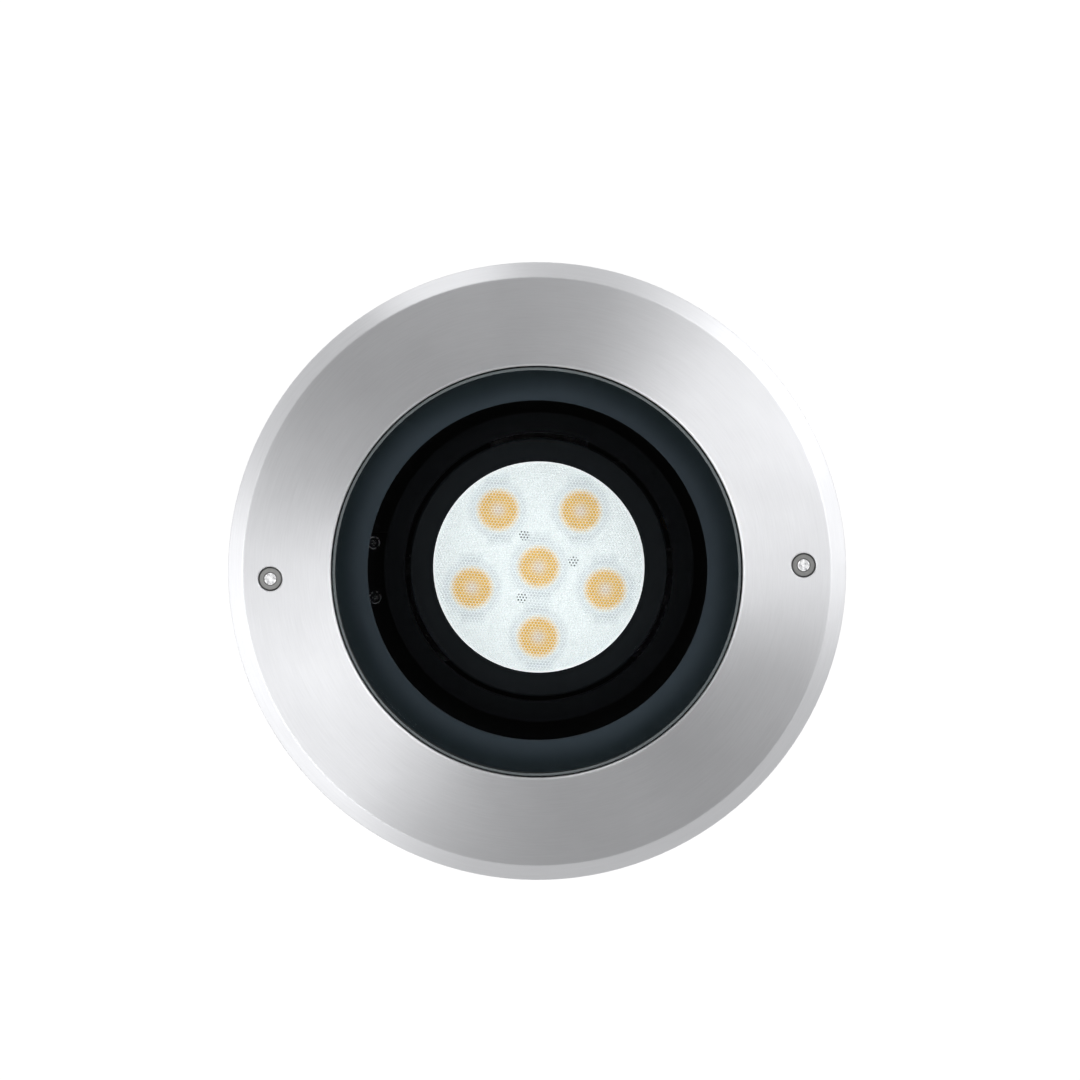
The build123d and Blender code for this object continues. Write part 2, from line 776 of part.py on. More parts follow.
with BuildPart() as thermal_pad:
    round_bar([(0, 0)], board_radius, cup_floor, board_bottom)
    round_bar(board_screws_at, m3_shank + screw_gap, cup_floor, board_bottom, Mode.SUBTRACT)
    round_bar([lead_hole_place], grommet_bore_radius, cup_floor, board_bottom, Mode.SUBTRACT)

with BuildPart() as led_board:
    round_bar([(0, 0)], board_radius, board_bottom, board_top)
    round_bar(board_screws_at, m3_shank + screw_gap, board_bottom, board_top, Mode.SUBTRACT)
    round_bar([lead_hole_place], grommet_bore_radius, board_bottom, board_top, Mode.SUBTRACT)

with BuildPart() as board_screws:
    screws_down(
        board_screws_at,
        board_top,
        m3_head,
        m3_head_height,
        m3_shank,
        board_thickness + pad_thickness + board_screw_grip,
    )

with BuildPart() as led_emitters:
    with Locations(*[(x, y, board_top) for x, y in leds_at]):
        Box(led_width, led_width, led_body_height, align=seated)
    with Locations(*[(x, y, board_top + led_body_height) for x, y in leds_at]):
        Sphere(led_dome_radius, arc_size1=0)

with BuildPart() as collimators:
    cavity_radius = led_width * sqrt(0.5) + soft_gap
    cavity_height = led_body_height + led_dome_radius + led_dome_gap
    round_bar(leds_at, optic_foot_radius + optic_foot_lip, board_top, board_top + optic_foot_flange)
    with Locations(*[(x, y, board_top) for x, y in leds_at]):
        Cone(optic_foot_radius, optic_top_radius, optic_height, align=seated)
    round_bar(leds_at, cavity_radius, board_top, board_top + cavity_height, Mode.SUBTRACT)

with BuildPart() as lens_plate:
    round_bar([(0, 0)], lens_radius, lens_bottom, lens_top)

with BuildPart() as lens_bezel:
    skirt_bottom = lens_top - bezel_skirt_depth
    turned(
        (lens_view_radius, lens_top),
        (cup_radius + soft_gap, lens_top),
        (cup_radius + soft_gap, skirt_bottom),
        (bezel_radius, skirt_bottom),
        (bezel_radius, bezel_top - bezel_chamfer),
        (bezel_radius - bezel_chamfer, bezel_top),
        (lens_view_radius + bezel_chamfer, bezel_top),
        (lens_view_radius, bezel_top - bezel_chamfer),
    )

# ---------------------------------------------------------------- driver and wiring in the pot

with BuildPart() as driver_tray:
    with BuildSketch(Plane.XY.offset(tray_bottom)):
        with Locations((0, tray_centre_y)):
            Rectangle(tray_width, tray_depth)
        Circle(tray_radius, mode=Mode.INTERSECT)
        with Locations(*tray_screws_at):
            Circle(m4_shank + screw_gap, mode=Mode.SUBTRACT)
        with Locations(*driver_screws_at):
            Circle(m3_shank + thread_gap, mode=Mode.SUBTRACT)
    extrude(amount=tray_thickness)

with BuildPart() as tray_screws:
    tray_screw_length = tray_thickness + tray_screw_grip
    screws_down(tray_screws_at, tray_top, m4_head, m4_head_height, m4_shank, tray_screw_length)

with BuildPart() as driver:
    with BuildSketch(Plane.XY.offset(tray_top)):
        with Locations((0, tray_centre_y)):
            RectangleRounded(driver_length, driver_width, driver_corner_radius)
    extrude(amount=driver_height)
    fillet(driver.edges().group_by(Axis.Z)[-1], driver_edge_radius)
    with BuildSketch(Plane.XY.offset(tray_top)):
        with Locations((0, tray_centre_y)):
            RectangleRounded(driver_length + 2 * driver_tab, driver_tab_width, driver_tab_corner)
        with Locations(*driver_screws_at):
            Circle(m3_shank + screw_gap, mode=Mode.SUBTRACT)
    extrude(amount=driver_tab_thickness)

with BuildPart() as driver_screws:
    screws_down(
        driver_screws_at,
        tray_top + driver_tab_thickness,
        m3_head,
        m3_head_height,
        m3_shank,
        driver_tab_thickness + tray_thickness,
    )

with BuildPart() as terminal_bracket:
    with BuildSketch(Plane.YZ.offset(-terminal_plate_width / 2)):
        with BuildLine():
            Polyline(
                (terminal_plate_y + terminal_plate_thickness, pot_floor),
                (terminal_plate_y + terminal_plate_thickness, pot_floor + terminal_plate_height),
                (terminal_plate_y, pot_floor + terminal_plate_height),
                (terminal_plate_y, pot_floor + terminal_plate_thickness),
                (terminal_plate_y - terminal_foot_depth, pot_floor + terminal_plate_thickness),
                (terminal_plate_y - terminal_foot_depth, pot_floor),
                close=True,
            )
        make_face()
    extrude(amount=terminal_plate_width)
    round_bar(
        foot_screws_at, m3_shank + screw_gap, pot_floor, pot_floor + terminal_plate_thickness, Mode.SUBTRACT
    )
    terminal_middle = pot_floor + terminal_lift + terminal_height / 2
    with BuildSketch(Plane.XZ.offset(-terminal_plate_y)):
        with Locations((-terminal_screw_x, terminal_middle), (terminal_screw_x, terminal_middle)):
            Circle(m3_shank + thread_gap)
    extrude(amount=-terminal_plate_thickness, mode=Mode.SUBTRACT)

with BuildPart() as terminal_block:
    terminal_bottom = pot_floor + terminal_lift
    with BuildSketch(Plane.XY.offset(terminal_bottom)):
        with Locations((0, terminal_face_y)):
            Rectangle(terminal_length, terminal_width, align=(Align.CENTER, Align.MIN))
    extrude(amount=terminal_height)
    fillet(terminal_block.edges().filter_by(Axis.Y), terminal_edge_radius)
    with BuildSketch(Plane.XZ.offset(-terminal_face_y)):
        with Locations((-terminal_screw_x, terminal_middle), (terminal_screw_x, terminal_middle)):
            Circle(m3_shank + screw_gap)
    extrude(amount=-terminal_width, mode=Mode.SUBTRACT)
    round_bar(
        [(x, terminal_plate_y - terminal_width / 2) for x in wires_at],
        wire_port_radius,
        terminal_bottom + terminal_height - wire_port_depth,
        terminal_bottom + terminal_height,
        Mode.SUBTRACT,
    )

with BuildPart() as terminal_screws:
    screws_down(
        foot_screws_at,
        pot_floor + terminal_plate_thickness,
        m3_head,
        m3_head_height,
        m3_shank,
        terminal_plate_thickness + foot_screw_grip,
    )
    for x in (-terminal_screw_x, terminal_screw_x):
        with BuildSketch(Plane.XZ.offset(-terminal_face_y)):
            with Locations((x, terminal_middle)):
                Circle(m3_head)
        extrude(amount=m3_head_height)
        with BuildSketch(Plane.XZ.offset(-terminal_face_y)):
            with Locations((x, terminal_middle)):
                Circle(m3_shank)
        extrude(amount=-terminal_width - terminal_plate_thickness)
        with BuildSketch(Plane.XZ.offset(-terminal_face_y + m3_head_height)):
            with Locations((x, terminal_middle)):
                Rectangle(m3_head * recess_reach, recess_width)
                Rectangle(recess_width, m3_head * recess_reach)
        extrude(amount=-recess_depth, mode=Mode.SUBTRACT)

# Each wire leaves the driver's long side level, dips, and enters the terminal block level
with BuildPart() as driver_wires:
    wire_start = tray_centre_y + driver_width / 2
    wire_level = terminal_bottom + wire_height / 2
    wire_step = (terminal_face_y - wire_start) / 5
    for x in wires_at:
        with BuildLine():
            FilletPolyline(
                (x, wire_start, wire_level),
                (x, wire_start + wire_step, wire_level),
                (x, wire_start + 2 * wire_step, wire_level - wire_sag),
                (x, wire_start + 3 * wire_step, wire_level - wire_sag),
                (x, wire_start + 4 * wire_step, wire_level),
                (x, terminal_face_y, wire_level),
                radius=5 * wire_radius,
            )
        with BuildSketch(Plane.XZ.offset(-wire_start)):
            with Locations((x, wire_level)):
                Circle(wire_radius)
        sweep()

with BuildPart() as earth_screw:
    earth_seat = pot_floor + earth_boss_height
    screws_down([earth_place], earth_seat, m4_head, m4_head_height, m4_shank, earth_boss_height)

# ---------------------------------------------------------------- cable entries under the pot

with BuildPart() as entry_seals:
    round_bar(entries, entry_hex / 2, seal_bottom, pot_bottom)
    round_bar(entries, entry_thread_radius + screw_gap, seal_bottom, pot_bottom, Mode.SUBTRACT)
    round_bar([vent_place], vent_head_radius, seal_bottom, pot_bottom)
    round_bar([vent_place], vent_thread_radius + screw_gap, seal_bottom, pot_bottom, Mode.SUBTRACT)

with BuildPart() as entry_locknuts:
    locknut_top = pot_floor + entry_locknut_height
    hexagon(entries, entry_locknut_hex, pot_floor, locknut_top)
    round_bar(entries, entry_thread_radius + thread_gap, pot_floor, locknut_top, Mode.SUBTRACT)

with BuildPart() as gland_body:
    round_bar(entries[:1], entry_thread_radius, seal_bottom, seal_bottom + entry_thread_length)
    hexagon(entries[:1], entry_hex, gland_hex_bottom, seal_bottom)
    round_bar(entries[:1], gland_skirt_radius, gland_skirt_bottom, gland_hex_bottom)
    round_bar(
        entries[:1], cable_hole_radius, gland_skirt_bottom, seal_bottom + entry_thread_length, Mode.SUBTRACT
    )
    round_bar(
        entries[:1],
        gland_seal_radius + 2 * running_gap,
        gland_skirt_bottom,
        gland_seal_top + soft_gap,
        Mode.SUBTRACT,
    )

with BuildPart() as gland_seal:
    round_bar(entries[:1], gland_seal_radius, gland_seal_bottom, gland_seal_top)
    round_bar(entries[:1], gland_seal_bore, gland_seal_bottom, gland_seal_top, Mode.SUBTRACT)

with BuildPart() as gland_nut:
    hexagon(entries[:1], entry_hex, gland_nut_bottom + gland_nut_dome, gland_nut_top)
    round_bar(entries[:1], entry_hex / 2, gland_nut_bottom, gland_nut_bottom + gland_nut_dome)
    fillet(gland_nut.edges().filter_by(GeomType.CIRCLE).group_by(Axis.Z)[0], gland_nut_edge)
    round_bar(
        entries[:1],
        gland_skirt_radius + thread_gap,
        gland_skirt_bottom - hole_end_gap,
        gland_nut_top,
        Mode.SUBTRACT,
    )
    round_bar(
        entries[:1],
        gland_seal_radius + soft_gap,
        gland_seal_bottom - soft_gap,
        gland_nut_top,
        Mode.SUBTRACT,
    )
    round_bar(entries[:1], gland_seal_bore + 2 * soft_gap, gland_nut_bottom, gland_nut_top, Mode.SUBTRACT)

with BuildPart() as blind_plug:
    round_bar(entries[1:], entry_thread_radius, seal_bottom, seal_bottom + entry_thread_length)
    hexagon(entries[1:], entry_hex, gland_hex_bottom, seal_bottom)
    plug_socket_top = gland_hex_bottom + plug_socket_depth
    hexagon(entries[1:], plug_socket_hex, gland_hex_bottom, plug_socket_top, Mode.SUBTRACT)

with BuildPart() as vent_plug:
    vent_bottom = seal_bottom - vent_head_height
    round_bar([vent_place], vent_head_radius, vent_bottom, seal_bottom)
    vent_top = pot_floor + tray_post_height / 2
    fillet(vent_plug.edges().group_by(Axis.Z)[0], vent_edge_radius)
    round_bar([vent_place], vent_thread_radius, seal_bottom, vent_top)
    round_bar([vent_place], vent_bore_radius, vent_bottom + vent_cap_thickness, vent_top, Mode.SUBTRACT)
    with BuildSketch(Plane.YZ.offset(vent_place[0] - vent_head_radius)):
        with Locations((vent_place[1], vent_bottom + vent_head_height / 2)):
            Circle(vent_port_radius)
    extrude(amount=2 * vent_head_radius, mode=Mode.SUBTRACT)

# ---------------------------------------------------------------- buried sleeve

# Base plate: anchor holes near its edge, drain holes, and screws up into the tube's foot
with BuildPart() as sleeve_base:
    round_bar([(0, 0)], base_flange_radius, 0, sleeve_floor)
    with BuildSketch():
        Circle(centre_drain_radius)
        with PolarLocations(drain_hole_circle_radius, drain_hole_count):
            Circle(drain_hole_radius)
        with PolarLocations(base_hole_circle_radius, base_hole_count, start_angle=base_hole_clocking):
            Circle(base_hole_radius)
        with Locations(*foot_flange_screws_at):
            Circle(m4_shank + screw_gap)
    extrude(amount=sleeve_floor, mode=Mode.SUBTRACT)
    with Locations(*foot_flange_screws_at):
        Cone(
            m4_flat_head + screw_gap,
            m4_shank + screw_gap,
            m4_flat_head - m4_shank,
            align=seated,
            mode=Mode.SUBTRACT,
        )

with BuildPart() as base_screws:
    with Locations(*[(x, y, soft_gap) for x, y in foot_flange_screws_at]):
        Cone(m4_flat_head, m4_shank, m4_flat_head - m4_shank, align=seated)
        Cylinder(m4_shank, foot_screw_length, align=seated)
    with BuildSketch(Plane.XY.offset(soft_gap)):
        with Locations(*foot_flange_screws_at):
            Rectangle(m4_flat_head, recess_width)
            Rectangle(recess_width, m4_flat_head)
    extrude(amount=recess_depth, mode=Mode.SUBTRACT)

# Tube: narrow round the wiring chamber, wide round the pot. Ribs and a ring key it into the ground.
with BuildPart() as sleeve:
    turned(
        (0, sleeve_floor),
        (sleeve_rib_radius, sleeve_floor),
        (sleeve_rib_radius, sleeve_floor + foot_flange_height),
        (chamber_radius, sleeve_floor + foot_flange_height),
        (chamber_radius, chamber_height),
        (sleeve_radius, chamber_height + shoulder_height),
        (sleeve_radius, anchor_height),
        (anchor_radius, anchor_height),
        (anchor_radius, anchor_height + anchor_thickness),
        (sleeve_radius, anchor_height + anchor_thickness),
        (sleeve_radius, tube_top),
        (0, tube_top),
    )
    with BuildSketch(Plane.XY.offset(sleeve_floor)):
        with PolarLocations(sleeve_rib_circle, sleeve_rib_count, start_angle=sleeve_rib_clocking):
            Rectangle(sleeve_rib_radius - chamber_inner_radius, sleeve_rib_thickness)
    extrude(amount=sleeve_rib_top - sleeve_floor)
    turned(
        (0, sleeve_floor),
        (chamber_inner_radius, sleeve_floor),
        (chamber_inner_radius, chamber_height),
        (sleeve_inner_radius, chamber_height + shoulder_height),
        (sleeve_inner_radius, tube_top),
        (0, tube_top),
        mode=Mode.SUBTRACT,
    )
    # flat pads for the conduit adaptors, front and back
    for side in (1, -1):
        with BuildSketch(Plane.XZ.offset(-side * pad_inner_face)):
            with Locations((0, conduit_axis_height)):
                Rectangle(2 * pad_half_width, 2 * pad_half_width)
        extrude(amount=-side * (pad_outer_face - pad_inner_face))
        with BuildSketch(Plane.XZ.offset(-side * pad_inner_face)):
            with Locations((0, conduit_axis_height)):
                Circle(adaptor_thread_radius + screw_gap)
        extrude(amount=-side * (pad_outer_face - pad_inner_face), mode=Mode.SUBTRACT)
    round_bar(
        foot_flange_screws_at,
        m4_shank + thread_gap,
        sleeve_floor,
        soft_gap + foot_screw_length + soft_gap,
        Mode.SUBTRACT,
    )

# Collar: sockets over the tube, its ledge carries the pot's flange, its rim carries the cover ring
with BuildPart() as sleeve_collar:
    turned(
        (tube_socket_radius, tube_socket_bottom),
        (tube_socket_radius + sleeve_wall, tube_socket_bottom),
        (tube_socket_radius + sleeve_wall, tube_top - ledge_thickness),
        (pocket_radius, tube_top),
        (pocket_radius, collar_top - collar_thickness),
        (collar_radius - collar_rim, collar_top - collar_thickness),
        (collar_radius - collar_rim, collar_bottom),
        (collar_radius, collar_bottom),
        (collar_radius, collar_top),
        (sleeve_inner_radius, collar_top),
        (sleeve_inner_radius, tube_top),
        (tube_socket_radius, tube_top),
    )
    with BuildSketch(Plane.XY.offset(collar_bottom)):
        with PolarLocations(collar_rib_circle, collar_rib_count, start_angle=collar_rib_clocking):
            Rectangle(collar_radius - pocket_radius, collar_rib_thickness)
    extrude(amount=collar_height - collar_thickness / 2)
    round_bar(cover_screws_at, insert_boss_radius, collar_bottom, collar_top)
    turned(
        (0, pot_flange_bottom),
        (collar_inner_radius, pot_flange_bottom),
        (collar_inner_radius, collar_top),
        (0, collar_top),
        mode=Mode.SUBTRACT,
    )
    round_bar(
        cover_screws_at, insert_radius + running_gap, insert_top - insert_length, collar_top, Mode.SUBTRACT
    )
    round_bar(
        cover_screws_at,
        cover_shank_radius + screw_gap,
        cover_top - counterbore_depth - cover_screw_length - 2 * hole_end_gap,
        collar_top,
        Mode.SUBTRACT,
    )

with BuildPart() as conduit_adaptors:
    for side in (1, -1):
        for start, end, radius in (
            (adaptor_end, pad_outer_face, adaptor_thread_radius),
            (pad_outer_face, pad_outer_face + adaptor_flange_thickness, adaptor_flange_radius),
            (pad_outer_face + adaptor_flange_thickness, adaptor_mouth, adaptor_radius),
        ):
            with BuildSketch(Plane.XZ.offset(-side * start)):
                with Locations((0, conduit_axis_height)):
                    Circle(radius)
            extrude(amount=-side * (end - start))
        for start, radius in (
            (adaptor_end, adaptor_through_radius),
            (pad_outer_face + adaptor_flange_thickness, adaptor_bore),
        ):
            with BuildSketch(Plane.XZ.offset(-side * start)):
                with Locations((0, conduit_axis_height)):
                    Circle(radius)
            extrude(amount=-side * (adaptor_mouth - start), mode=Mode.SUBTRACT)

with BuildPart() as adaptor_locknuts:
    for side in (1, -1):
        with BuildSketch(Plane.XZ.offset(-side * adaptor_nut_face)):
            with Locations((0, conduit_axis_height)):
                RegularPolygon(adaptor_nut_hex / 2, 6, major_radius=False)
                Circle(adaptor_thread_radius + thread_gap, mode=Mode.SUBTRACT)
        extrude(amount=-side * adaptor_nut_thickness)

# ---------------------------------------------------------------- one file for each piece

pieces = {
    "cover_ring": cover_ring,
    "cover_screws": cover_screws,
    "screw_inserts": screw_inserts,
    "rim_gasket": rim_gasket,
    "glass": glass,
    "glass_gasket": glass_gasket,
    "mask_ring": mask_ring,
    "clamp_ring": clamp_ring,
    "clamp_screws": clamp_screws,
    "lamp_housing": lamp_housing,
    "snap_ring": snap_ring,
    "turntable": turntable,
    "tilt_bracket": tilt_bracket,
    "bracket_screws": bracket_screws,
    "pivot_screws": pivot_screws,
    "pivot_washers": pivot_washers,
    "heat_sink": heat_sink,
    "lead_grommet": lead_grommet,
    "thermal_pad": thermal_pad,
    "led_board": led_board,
    "board_screws": board_screws,
    "led_emitters": led_emitters,
    "collimators": collimators,
    "lens_plate": lens_plate,
    "lens_bezel": lens_bezel,
    "driver_tray": driver_tray,
    "tray_screws": tray_screws,
    "driver": driver,
    "driver_screws": driver_screws,
    "terminal_bracket": terminal_bracket,
    "terminal_block": terminal_block,
    "terminal_screws": terminal_screws,
    "driver_wires": driver_wires,
    "earth_screw": earth_screw,
    "entry_seals": entry_seals,
    "entry_locknuts": entry_locknuts,
    "gland_body": gland_body,
    "gland_seal": gland_seal,
    "gland_nut": gland_nut,
    "blind_plug": blind_plug,
    "vent_plug": vent_plug,
    "sleeve_base": sleeve_base,
    "base_screws": base_screws,
    "sleeve": sleeve,
    "sleeve_collar": sleeve_collar,
    "conduit_adaptors": conduit_adaptors,
    "adaptor_locknuts": adaptor_locknuts,
}

os.makedirs("parts", exist_ok=True)
for name, piece in pieces.items():
    piece.part.label = name
    export_step(piece.part, f"parts/{name}.step")
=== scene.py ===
from math import cos, pi, radians, sin, sqrt

import bmesh
import bpy
from bpy.props import FloatProperty, FloatVectorProperty, PointerProperty
from mathutils import Matrix, Vector


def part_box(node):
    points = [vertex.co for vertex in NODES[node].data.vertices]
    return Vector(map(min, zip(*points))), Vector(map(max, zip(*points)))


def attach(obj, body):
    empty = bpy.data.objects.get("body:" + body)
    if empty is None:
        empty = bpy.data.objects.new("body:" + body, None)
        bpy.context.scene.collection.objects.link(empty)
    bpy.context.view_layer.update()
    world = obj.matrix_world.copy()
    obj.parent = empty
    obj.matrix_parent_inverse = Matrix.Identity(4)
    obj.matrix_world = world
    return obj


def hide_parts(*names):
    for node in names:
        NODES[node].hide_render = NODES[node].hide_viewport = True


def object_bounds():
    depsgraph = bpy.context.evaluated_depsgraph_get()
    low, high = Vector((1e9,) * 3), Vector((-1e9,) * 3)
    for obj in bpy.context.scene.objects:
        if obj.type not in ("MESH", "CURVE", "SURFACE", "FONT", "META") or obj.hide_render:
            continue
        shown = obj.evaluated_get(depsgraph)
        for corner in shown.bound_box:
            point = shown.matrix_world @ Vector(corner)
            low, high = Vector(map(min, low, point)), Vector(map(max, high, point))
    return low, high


bl_info = {
    "name": "In-ground light looks",
    "version": (1, 0, 0),
    "blender": (4, 5, 0),
    "location": "View3D > Sidebar > Well light",
    "description": "Finishes, honeycomb lens and studio for the in-ground light",
    "category": "Object",
}

MM = 0.001
WHITE = (1.0, 1.0, 1.0, 1.0)
BOARD_SCREW_TURNS = (8.0, 113.5, 239.5)  # degrees from the X axis
WIRE_PITCH = 8 * MM

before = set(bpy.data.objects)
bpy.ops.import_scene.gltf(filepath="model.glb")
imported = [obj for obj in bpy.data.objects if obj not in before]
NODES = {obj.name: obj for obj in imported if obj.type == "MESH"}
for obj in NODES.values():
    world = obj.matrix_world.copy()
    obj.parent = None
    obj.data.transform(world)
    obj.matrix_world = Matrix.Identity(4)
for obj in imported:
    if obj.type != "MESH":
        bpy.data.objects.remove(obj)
CAD_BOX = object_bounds()

LENS_LOW, LENS_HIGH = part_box("lens_plate")
COVER_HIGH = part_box("cover_ring")[1]


# ---------------------------------------------------------------- sizes and colours that a user would change


def length(name, about, value, low=0.0, high=5.0):
    """A size in metres that is shown in the sidebar."""
    return FloatProperty(
        name=name,
        description=about,
        default=value,
        min=low,
        max=high,
        precision=5,
        unit="LENGTH",
        subtype="DISTANCE",
    )


def angle(name, about, degrees):
    """An angle that is shown in the sidebar."""
    return FloatProperty(
        name=name, description=about, default=radians(degrees), unit="ROTATION", subtype="ANGLE"
    )


def share(name, about, value):
    """A share from none to all."""
    return FloatProperty(name=name, description=about, default=value, min=0.0, max=1.0, subtype="FACTOR")


def colour(name, about, value):
    """A scene-linear colour that is shown in the sidebar."""
    return FloatVectorProperty(
        name=name, description=about, default=value, size=3, min=0.0, max=1.0, subtype="COLOR"
    )


class LensSizes(bpy.types.PropertyGroup):
    """Sizes of the honeycomb lens and of what shows through it."""

    cell_pitch: length("Cell pitch", "Distance between the middles of two cells", 1.16 * MM)
    cell_height: length("Cell height", "How far a cell's middle stands above its edge", 0.28 * MM)
    # Painted glow: an emission strength that lifts the lens against the shade of the well.
    painted_glow: share("Glow", "Light that spreads inside the milky plate", 0.44)
    row_angle: angle("Row angle", "Turn of the rows of cells from the X axis", -5.5)
    rim_width: length("Rim width", "Plain rim outside the cells, part of it under the bezel", 2.2 * MM)
    spot_circle: length("Spot circle", "Radius of the circle of five LED spots", 25.8 * MM)
    spot_angle: angle("Spot angle", "Place of one of the five spots on that circle", 267.9)
    screw_circle: length("Screw circle", "Radius of the three board screws' circle", 12.9 * MM)
    screw_spot_radius: length("Screw spot radius", "Reach of the dark dots over a board screw", 1.9 * MM)


class FaceSizes(bpy.types.PropertyGroup):
    """Places on the face where a finish changes."""

    cover_axis: length("Cover screws", "Distance of the cover screws from the middle", 94.7 * MM)
    screw_face: length("Screw face", "Level of the cover screws' faces", 239.6 * MM)
    head_radius: length("Head radius", "Radius of the cover screws' heads", 4.25 * MM)
    socket_radius: length("Socket radius", "Reach of the cover screws' sockets", 2.1 * MM)
    bracket_axis: length("Bracket screws", "Distance of the bracket screws from the middle", 61.3 * MM)
    bracket_side: length("Bracket side", "Distance of the bracket screws from the X axis", 10.2 * MM)
    bracket_head: length("Bracket head", "Radius of the bracket screws' heads", 2.35 * MM)
    glass_step: length("Glass step", "Radius of the glass above its flange", 72.65 * MM)
    # The mask's darkening between these two radii is painted shade from the cover ring.
    mask_low: length("Mask light", "Radius where the mask starts to darken", 62.5 * MM)
    mask_high: length("Mask dark", "Radius where the mask is darkest", 71.5 * MM)


class FaceColours(bpy.types.PropertyGroup):
    """Colours that show in the face of the light."""

    steel: colour("Stainless steel", "Brushed cover ring", (0.785, 0.79, 0.81))
    screw: colour("Screw steel", "Plain screws", (0.60, 0.60, 0.59))
    black: colour("Black screws", "Blackened steel", (0.010, 0.011, 0.013))
    mask: colour("Mask", "Ring under the glass, at its opening", (0.028, 0.038, 0.047))
    # Mask edge is painted shade: the ring's colour where the cover ring shades it.
    mask_edge: colour("Mask edge", "The same ring at its outer edge", (0.010, 0.017, 0.021))
    well: colour("Well", "Powder coat of the pot and the turntable", (0.0022, 0.0027, 0.0036))
    bezel: colour("Bezel", "Ring round the lens", (0.0055, 0.0070, 0.0086))
    lens: colour("Lens", "Milky honeycomb lens", (0.88, 0.915, 0.912))
    amber: colour("Amber", "LED phosphor as it shows through a cell", (0.77, 0.44, 0.07))


class BodyColours(bpy.types.PropertyGroup):
    """Colours of the buried and inner pieces."""

    sleeve: colour("Sleeve", "Moulded sleeve", (0.030, 0.031, 0.033))
    adaptor: colour("Adaptor", "Conduit adaptors and their nuts", (0.075, 0.077, 0.080))
    entry: colour("Entry", "Cable gland, plugs and nuts", (0.018, 0.018, 0.020))
    cast: colour("Anodised casting", "Heat sink", (0.0060, 0.0066, 0.0076))
    zinc: colour("Zinc", "Plated sheet steel", (0.58, 0.60, 0.62))
    rubber: colour("Rubber", "Gaskets and seals", (0.012, 0.012, 0.013))
    silicone: colour("Silicone", "Glass gasket and thermal pad", (0.22, 0.23, 0.24))
    brass: colour("Brass", "Inserts and earth screw", (0.72, 0.52, 0.22))
    case: colour("Driver case", "Moulded driver case", (0.74, 0.75, 0.75))
    terminal: colour("Terminal", "Terminal block", (0.56, 0.58, 0.58))
    board: colour("Board", "Solder mask and LED bodies", (0.80, 0.82, 0.81))
    phosphor: colour("Phosphor", "LED domes", (0.92, 0.52, 0.08))


class StudioSizes(bpy.types.PropertyGroup):
    """Camera and light of the studio."""

    view_distance: length("View distance", "From the camera to the light's face", 1.3)
    view_width: length("View width", "Width that the picture shows at the face", 383.1 * MM)
    view_tilt: angle("View tilt", "How far the camera stands off the light's axis", 1.85)
    tilt_side: angle("Tilt side", "Direction of that tilt in the picture, from its right", 62.0)
    face_turn: angle("Face turn", "Turn of the light in the picture, against the clock", 1.5)
    aim_right: length("Aim right", "How far right of the face's middle the camera aims", 1.2 * MM)
    aim_up: length("Aim up", "How far above the face's middle the camera aims", 11.4 * MM)
    floor_size: length("Floor size", "Width of the floor", 12.0, high=50.0)
    key_angle: angle("Key angle", "Azimuth of the soft light that the brushed ring shows", 23.0)
    left_angle: angle("Left card", "Azimuth of the white card on the left", 187.0)
    right_angle: angle("Right card", "Azimuth of the white card on the right", 38.0)
    strip_angle: angle("Strip angle", "Azimuth of a strip light that only the bevel shows", 108.0)


# ---------------------------------------------------------------- shader building


class Value:
    """An output socket that takes part in arithmetic, each operation adding a Math node."""

    def __init__(self, finish, socket):
        self.finish = finish
        self.socket = socket

    def math(self, operation, *others):
        return self.finish.node("ShaderNodeMath", {"operation": operation}, dict(enumerate((self, *others))))

    def __add__(self, other):
        return self.math("ADD", other)

    def __sub__(self, other):
        return self.math("SUBTRACT", other)

    def __rsub__(self, other):
        return self.finish.node("ShaderNodeMath", {"operation": "SUBTRACT"}, {0: other, 1: self})

    def __mul__(self, other):
        return self.math("MULTIPLY", other)

    def __truediv__(self, other):
        return self.math("DIVIDE", other)

    def root(self):
        return self.math("SQRT")

    def least(self, other):
        return self.math("MINIMUM", other)

    def most(self, other):
        return self.math("MAXIMUM", other)

    def step(self, low, high):
        """Rises smoothly from 0 at low to 1 at high, or falls where low is above high."""
        return self.finish.node(
            "ShaderNodeMapRange",
            {"interpolation_type": "SMOOTHSTEP"},
            {"Value": self, "From Min": low, "From Max": high},
        )


